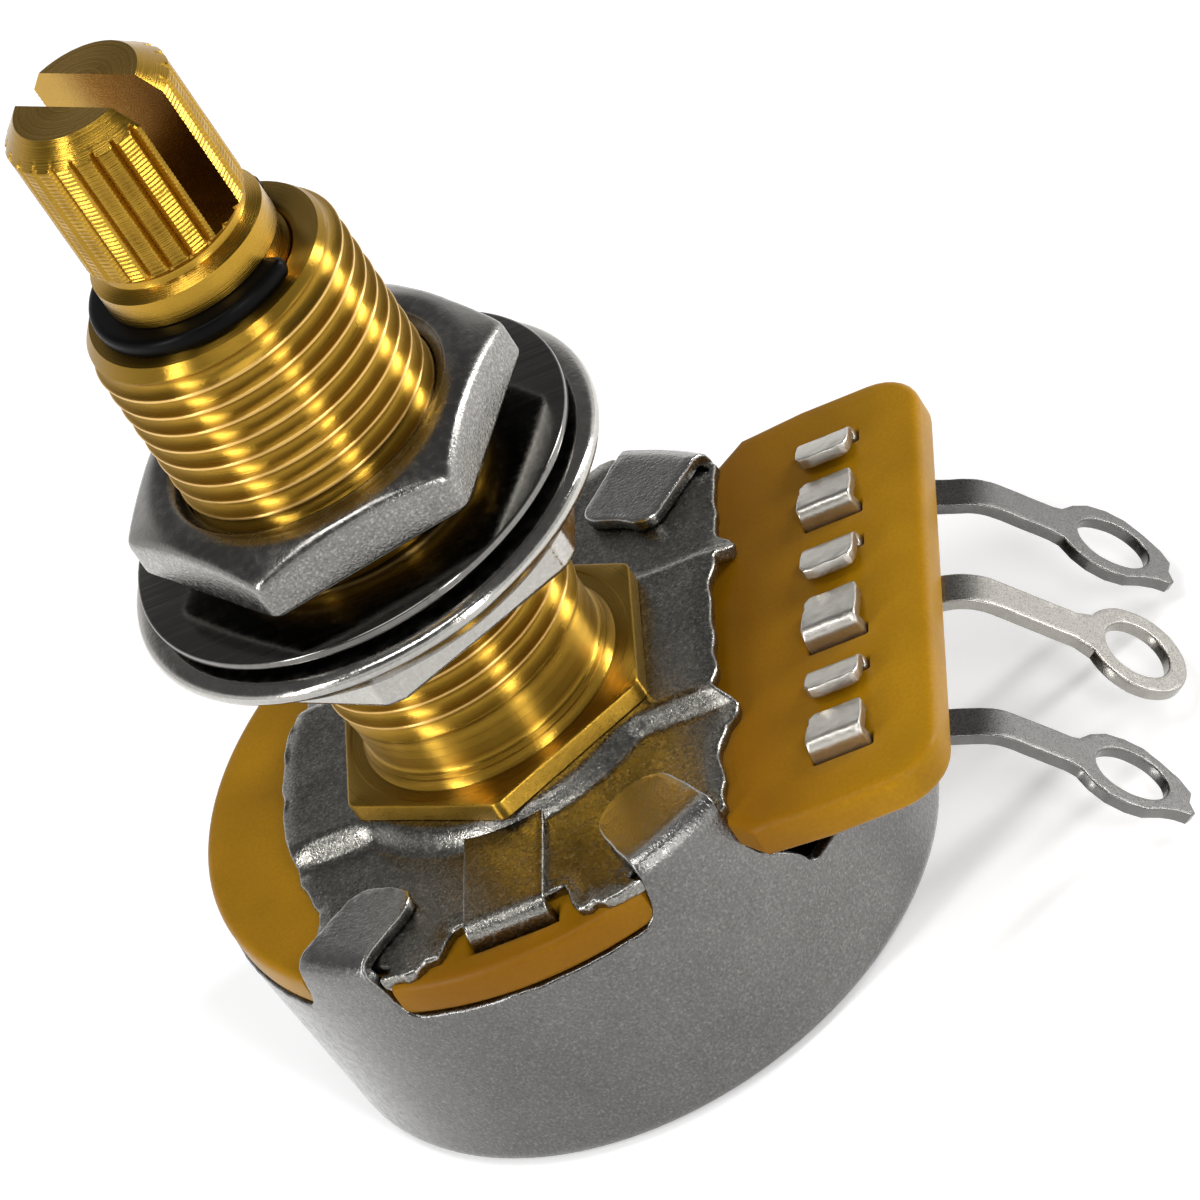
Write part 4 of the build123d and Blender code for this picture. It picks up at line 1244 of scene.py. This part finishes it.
def make_lug(name, node, middle, wiper, finish):
    """Terminal: stamped strip that leaves the board's underside, bends down and ends in an eye."""
    sheet = sizes().lug_sheet
    top = BOARD_BOTTOM
    slope = radians(55)
    if wiper:
        knee, run = (16.32, top), 6.83
        path = [(10.9, top), knee]
    else:
        bend_at, knee_at, first_slope, run = 13.6, 16.7, radians(24.5), 5.16
        first_run = (knee_at - bend_at) / cos(first_slope)
        knee = (knee_at, top - first_run * sin(first_slope))
        path = [(10.9, top), (bend_at, top), knee]
    path.append((knee[0] + run * cos(slope), knee[1] - run * sin(slope)))
    at, total = path_shape(path, 2.6)
    root = (2.3 if wiper else 1.9) + sheet / 2
    width = 0.7
    outline = [(0.0, -root), (2.4, -root), (2.55, -width - 0.35), (3.0, -width)]
    if wiper:
        ring, hole_radii = 1.95, (1.25, 1.25)
        neck = sqrt(ring**2 - width**2)
        outline += [(total - neck - 0.55, -width), (total - neck - 0.2, -width - 0.12)]
        start = degrees(asin(0.93 / ring))
        outline += arc_points((total, 0), ring, 180 + start, 540 - start, 40)
        outline += [(total - neck - 0.2, width + 0.12), (total - neck - 0.55, width)]
    else:
        hole_radii = (1.4, 1.05)
        shoulder = [
            (-2.35, -width), (-2.0, -width - 0.08), (-1.55, -1.22), (-0.95, -1.55), (-0.2, -1.66), (0.5, -1.56)
        ]
        tip_side = [(1.2, -1.2), (1.75, -1.02), (2.2, -0.98), (2.38, -0.75), (2.2, -0.3), (2.3, 0.2), (1.9, 0.7)]
        other = [
            (1.2, 1.2), (0.5, 1.56), (-0.2, 1.66), (-0.95, 1.55), (-1.55, 1.22), (-2.0, width + 0.08),
            (-2.35, width)
        ]
        outline += [(total + x, y) for x, y in shoulder + tip_side + other]
    outline += [(3.0, width), (2.55, width + 0.35), (2.4, root), (0.0, root)]
    hole = [(total + hole_radii[0] * cos(a), hole_radii[1] * sin(a)) for a in np.linspace(0, 2 * pi, 41)[:-1]]

    def shape(s, y, _):
        point = at(s)
        return (point.x, middle + y, point.y + 0.006 * waver(s, y, middle, 0.8))

    made = pressed_sheet(name, outline, [hole], 0.2, shape, sheet, 0.06, rough=0.02, burr=0.012)
    return finish_piece(made, "case", [node], finish, 35)


def make_prongs(finish):
    """Clinch prongs: a flat near one and a sprung far one for each terminal, folded over the board."""
    root = 1.9
    top = BOARD_TOP + sizes().lug_sheet
    near = clinch_prong("near_prong", root, top, 0.16, 0.36, 0.0)
    far = clinch_prong("far_prong", root, top, 0.62, 0.05, 0.42)
    start = 11.2
    rows = ((-LUG_SPACING, 1.0), (0.0, 1.18), (LUG_SPACING, 1.0))
    made, sprung = (
        copies_of(name, prong, [((start, y, 0), (0, 0, 0), (1.0, side * wide, 1.0)) for y, wide in rows], finish)
        for name, prong, side in (("lug_prongs", near, -1), ("far_prongs", far, 1))
    )
    join(made, sprung)
    with editing(made.data) as work:
        bmesh.ops.recalc_face_normals(work, faces=work.faces)
    return finish_piece(made, "case", [], finish, 35)


def clinch_prong(name, root, top, gap, arch, spring):
    """One prong up through the board and folded over it; arch lifts its fold and spring lifts its tip."""
    sheet = sizes().lug_sheet
    path = [(root + sheet / 2, BOARD_BOTTOM), (root + sheet / 2, top + arch), (gap, top + arch)]
    at, total = path_shape(path, 0.42)
    fold = total - (root - gap)
    outline = [
        (0.0, 0.0), (total - 0.25, 0.06), (total - 0.04, 0.22), (total, 0.5), (total, 1.7), (total - 0.06, 1.95),
        (total - 0.3, 2.05), (0.0, 2.1)
    ]

    def shape(s, x, _):
        point = at(s)
        sag = 0.03 * waver(s, x, 9.0 + spring, 0.45) - 0.05 * exp(-(((total - s) / 0.4) ** 2))
        rise = (spring - arch) * max(0.0, (s - fold) / (total - fold))
        return (x, point.x, point.y + min(0.0, sag) + rise)

    return pressed_sheet(name, outline, [], 0.11, shape, sheet, 0.08, rough=0.06, burr=0.04)


def make_board(finish):
    """Terminal board: laminate sheared to its outline, with rounded edges and slots for the prongs."""
    radius = 12.07
    side = [(8.85, 10.2), (11.2, 10.45), *arc_points((13.75, 8.55), 1.9, 90, 0, 8)]
    start = degrees(asin(9.2 / radius))
    round_part = arc_points((0, 0), radius, start, 360 - start, 120)
    outline = []
    notch_inner, notch_half = 11.46, 1.9
    for x, y in round_part:
        angle = degrees(np.arctan2(y, x))
        for tab in TAB_ANGLES:
            across = radius * sin(radians(angle - tab))
            if abs(across) < notch_half and abs(angle - tab) < 20:
                factor = notch_inner / (radius * cos(radians(angle - tab)))
                x, y = x * factor, y * factor
        outline.append((x, y))
    outline += [(x, -y) for x, y in side] + list(reversed(side))
    tongue_slot = [(-1.6, -10.85), (1.6, -10.85), (1.6, -10.1), (-1.6, -10.1)]
    holes = [arc_points((0, 0), 5.2, 0, 360, 64)[:-1], tongue_slot]
    for middle, root in ((-LUG_SPACING, 1.9), (0.0, 2.3), (LUG_SPACING, 1.9)):
        for y in (middle - root, middle + root):
            slot = [(11.16, y - 0.3), (13.36, y - 0.3), (13.36, y + 0.3), (11.16, y + 0.3)]
            holes.append(rounded(slot, 0.1, 3))

    def shape(x, y, _):
        return (x, y, BOARD_TOP)

    def edge(x, y):
        slot = 10.9 < x < 13.9 and abs(y) < 8.8 or hypot(x, y) < 6
        return 0.1 if slot else 0.3

    made = pressed_sheet("board_laminate", outline, holes, 0.5, shape, BOARD_TOP - BOARD_BOTTOM, edge)
    return finish_piece(made, "case", ["terminal_board"], finish, 35)


def dress_inner(materials):
    """Materials of the inner pieces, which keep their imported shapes."""
    for node, finish in materials.items():
        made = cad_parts[node]
        made.data.materials.clear()
        made.data.materials.append(finish)


# Stage


def area_light(name, place, target, width, height, power):
    """A soft rectangular lamp in millimetres, turned to its target."""
    lamp = bpy.data.lights.new(name, "AREA")
    lamp.shape = "RECTANGLE"
    lamp.size = width * MM
    lamp.size_y = height * MM
    lamp.energy = power
    made = new_object(name, lamp)
    made.location = Vector(place) * MM
    made.rotation_euler = (Vector(target) - Vector(place)).to_track_quat("-Z", "Y").to_euler()


def make_floor():
    """A pale floor: white to the camera when far, and brighter in reflections towards the back."""
    reach = 3000 * MM
    mesh = bpy.data.meshes.new("floor")
    corners = [(-reach, -reach, 0), (reach, -reach, 0), (reach, reach, 0), (-reach, reach, 0)]
    mesh.from_pydata(corners, [], [(0, 1, 2, 3)])
    paper, tree = empty_material("white_paper")
    place = object_place(tree)
    away = add_node(tree, VECTOR, [place], "Value", operation="LENGTH")
    ray = add_node(tree, "ShaderNodeLightPath", out=None)
    seen = add_node(tree, MATH, [ray["Is Camera Ray"], ray["Is Transmission Ray"]], operation="MAXIMUM")
    near_to_far = add_node(tree, RANGE, [away, 120.0, 450.0, 0.3, 1.0])
    glow = add_node(tree, MATH, [seen, near_to_far], operation="MULTIPLY")
    turn = add_node(tree, VECTOR, [place], operation="NORMALIZE")
    front = add_node(tree, VECTOR, [turn, (-0.035, -0.999, 0.0)], "Value", operation="DOT_PRODUCT")
    mirrored = add_node(tree, RANGE, [front, 0.4, 0.9, 0.62, 0.16])
    add_shader(tree, {
        "Base Color": (0.86, 0.86, 0.86, 1),
        "Roughness": 0.9,
        "Emission Color": (1, 1, 1, 1),
        "Emission Strength": add_node(tree, MATH, [ray["Is Glossy Ray"], mirrored, glow], operation="MULTIPLY_ADD"),
    })
    mesh.materials.append(paper)
    new_object("floor", mesh)


def make_world():
    """A grey studio that shows white to the camera, with a bright low wall and a dark ceiling in reflections."""
    world = bpy.data.worlds.new("studio")
    bpy.context.scene.world = world
    world.use_nodes = True
    tree = world.node_tree
    tree.nodes.clear()
    ray = add_node(tree, "ShaderNodeLightPath", out=None)
    upward = add_node(tree, SPLIT, [add_node(tree, "ShaderNodeTexCoord", out="Generated")], "Z")
    wall = add_node(tree, RANGE, [upward, 0.2, 0.55, 0.7, -0.17], interpolation_type="SMOOTHSTEP")
    seen = add_node(tree, MATH, [ray["Is Camera Ray"], ray["Is Transmission Ray"]], operation="MAXIMUM")
    level = add_node(tree, MATH, [seen, 0.7, 0.3], operation="MULTIPLY_ADD")
    level = add_node(tree, MATH, [ray["Is Glossy Ray"], wall, level], operation="MULTIPLY_ADD")
    light = add_node(tree, "ShaderNodeBackground", {"Color": (1, 1, 1, 1), "Strength": level})
    add_node(tree, "ShaderNodeOutputWorld", [light], None)


CAMERA_PLACE = (87.277, -214.571, 175.217)
CAMERA_RIGHT = (0.888287, -0.006434, -0.459243)
CAMERA_DOWN = (-0.354221, -0.646080, -0.676098)
CAMERA_FORWARD = (-0.292358, 0.763243, -0.576183)
FOCAL_PIXELS, FRAME_PIXELS, SENSOR_WIDTH = 8332.0, 1200, 36.0


def make_stage():
    """Floor, world, soft lamps and the camera that was fitted to the photograph."""
    make_floor()
    make_world()
    scene = bpy.context.scene
    target = (0, 0, 18)
    area_light("key_strip", (-155, -155, 130), target, 30, 190, 0.34)
    area_light("front_strip", (125, -180, 110), target, 22, 190, 0.24)
    area_light("side_strip", (195, 105, 90), target, 30, 170, 0.36)
    area_light("top_softbox", (-20, -60, 260), target, 110, 70, 0.16)

    camera = bpy.data.cameras.new("camera")
    camera.sensor_width = SENSOR_WIDTH
    camera.lens = FOCAL_PIXELS / FRAME_PIXELS * SENSOR_WIDTH
    camera.clip_start = 0.01
    camera.clip_end = 20.0
    eye = new_object("camera", camera)
    turn = Matrix((CAMERA_RIGHT, -Vector(CAMERA_DOWN), -Vector(CAMERA_FORWARD))).transposed()
    eye.matrix_world = Matrix.Translation(Vector(CAMERA_PLACE) * MM) @ turn.to_4x4()
    scene.camera = eye
    scene.view_settings.view_transform = "Standard"


# Operators


class POT_OT_brass(bpy.types.Operator):
    """Make the bushing, the shaft and the retaining ring."""

    bl_idname = "pot.brass"
    bl_label = "Bushing and shaft"

    def execute(self, context):
        make_bushing(turned_brass("turned_brass", 1.0, 0.25, 0.36, crest=THREAD_RADIUS))
        make_shaft(turned_brass("knurled_brass", 0.6, 0.2, 0.32))
        make_retaining_ring(black_spring_steel())
        return {"FINISHED"}


class POT_OT_nuts(bpy.types.Operator):
    """Make the flange nut, the dress washer and the front nut."""

    bl_idname = "pot.nuts"
    bl_label = "Nuts and washer"

    def execute(self, context):
        nickel = finishes().nickel
        make_front_nut(
            plated_steel("nickel_plate", nickel, 0.1, 0.016, 0.16, 0.3, glint_and_pit_shade=0.7, smooth_top=0.75)
        )
        make_flange_nut(
            plated_steel("bright_nickel_plate", shade(nickel, 1.8), 0.14, 0.006, 0.1, 0.22, glint_and_pit_shade=0.15)
        )
        make_dress_washer(brushed_nickel())
        return {"FINISHED"}


class POT_OT_cover(bpy.types.Operator):
    """Make the cover with its tabs."""

    bl_idname = "pot.cover"
    bl_label = "Cover"

    def execute(self, context):
        steel, tabs = finishes().cover_steel, COVER_TOP - 0.27
        # The tops of the cover's tabs get a painted highlight
        make_cover(
            plated_steel("zinc_plated_steel", steel, 0.1, 0.016, 0.18, 0.32, glint_and_pit_shade=0.45, painted_highlight_height=tabs)
        )
        return {"FINISHED"}


class POT_OT_plate(bpy.types.Operator):
    """Make the front plate with its stop tongue."""

    bl_idname = "pot.plate"
    bl_label = "Front plate"

    def execute(self, context):
        steel = finishes().plate_steel
        make_front_plate(plated_steel("dark_plated_steel", steel, 0.085, 0.012, 0.18, 0.32, glint_and_pit_shade=0.9))
        return {"FINISHED"}


class POT_OT_board(bpy.types.Operator):
    """Make the terminal board."""

    bl_idname = "pot.board"
    bl_label = "Terminal board"

    def execute(self, context):
        make_board(amber_laminate())
        return {"FINISHED"}


class POT_OT_terminals(bpy.types.Operator):
    """Make the three terminals and their clinch prongs."""

    bl_idname = "pot.terminals"
    bl_label = "Terminals"

    def execute(self, context):
        recoloured = tinned_sheet("outer_tinned_strip", finishes().outer_tin, 0.004)
        make_lug("lug_start_strip", "lug_start", -LUG_SPACING, False, recoloured)
        make_lug("lug_wiper_strip", "lug_wiper", 0.0, True, tinned_sheet("tinned_strip", finishes().tin, 0.002))
        make_lug("lug_end_strip", "lug_end", LUG_SPACING, False, recoloured)
        # The prongs' tin is painted twice as bright, as a painted reflection on their tops
        make_prongs(tinned_sheet("tin_with_painted_reflection", shade(finishes().tin, 2.0), 0.012, 0.28, 0.42))
        return {"FINISHED"}


class POT_OT_inner(bpy.types.Operator):
    """Give the inner pieces their materials."""

    bl_idname = "pot.inner"
    bl_label = "Inner pieces"

    def execute(self, context):
        strip = tinned_sheet("silver_plate", finishes().tin, 0.004)
        dress_inner(
            {
                "resistance_track": moulded_plastic("carbon_ink", "#171717", 0.55),
                "pad_start": strip,
                "pad_end": strip,
                "collector_ring": strip,
                "rotor": moulded_plastic("phenolic_moulding", "#241D19", 0.5),
                "thrust_washer": moulded_plastic("nylon_washer", "#D8D2C4", 0.45),
                "wiper_spring": tinned_sheet("phosphor_bronze", linear("#B87A45"), 0.003),
            }
        )
        return {"FINISHED"}


class POT_OT_stage(bpy.types.Operator):
    """Set the floor, the lamps, the world and the camera."""

    bl_idname = "pot.stage"
    bl_label = "Stage"

    def execute(self, context):
        make_stage()
        return {"FINISHED"}


class POT_PT_panel(bpy.types.Panel):
    """Sizes, finishes and one button for each group of pieces."""

    bl_label = "Potentiometer"
    bl_idname = "POT_PT_panel"
    bl_space_type = "VIEW_3D"
    bl_region_type = "UI"
    bl_category = "Potentiometer"

    def draw(self, context):
        layout = self.layout
        for group in (context.scene.potentiometer_sizes, context.scene.potentiometer_finishes):
            column = layout.column()
            for name in group.bl_rna.properties.keys():
                if name not in {"rna_type", "name"}:
                    column.prop(group, name)
        for operator in OPERATORS:
            layout.operator(operator.bl_idname)


OPERATORS = (
    POT_OT_brass,
    POT_OT_nuts,
    POT_OT_cover,
    POT_OT_plate,
    POT_OT_board,
    POT_OT_terminals,
    POT_OT_inner,
    POT_OT_stage,
)
CLASSES = (PotentiometerSizes, PotentiometerFinishes, *OPERATORS, POT_PT_panel)


def register():
    """Register the classes and the scene's settings."""
    for item in CLASSES:
        bpy.utils.register_class(item)
    bpy.types.Scene.potentiometer_sizes = PointerProperty(type=PotentiometerSizes)
    bpy.types.Scene.potentiometer_finishes = PointerProperty(type=PotentiometerFinishes)


def unregister():
    """Remove what register added."""
    del bpy.types.Scene.potentiometer_finishes
    del bpy.types.Scene.potentiometer_sizes
    for item in reversed(CLASSES):
        bpy.utils.unregister_class(item)


def main():
    """Build everything."""
    register()
    bpy.ops.pot.brass()
    bpy.ops.pot.nuts()
    bpy.ops.pot.cover()
    bpy.ops.pot.plate()
    bpy.ops.pot.board()
    bpy.ops.pot.terminals()
    bpy.ops.pot.inner()
    bpy.ops.pot.stage()


if __name__ == "__main__":
    main()
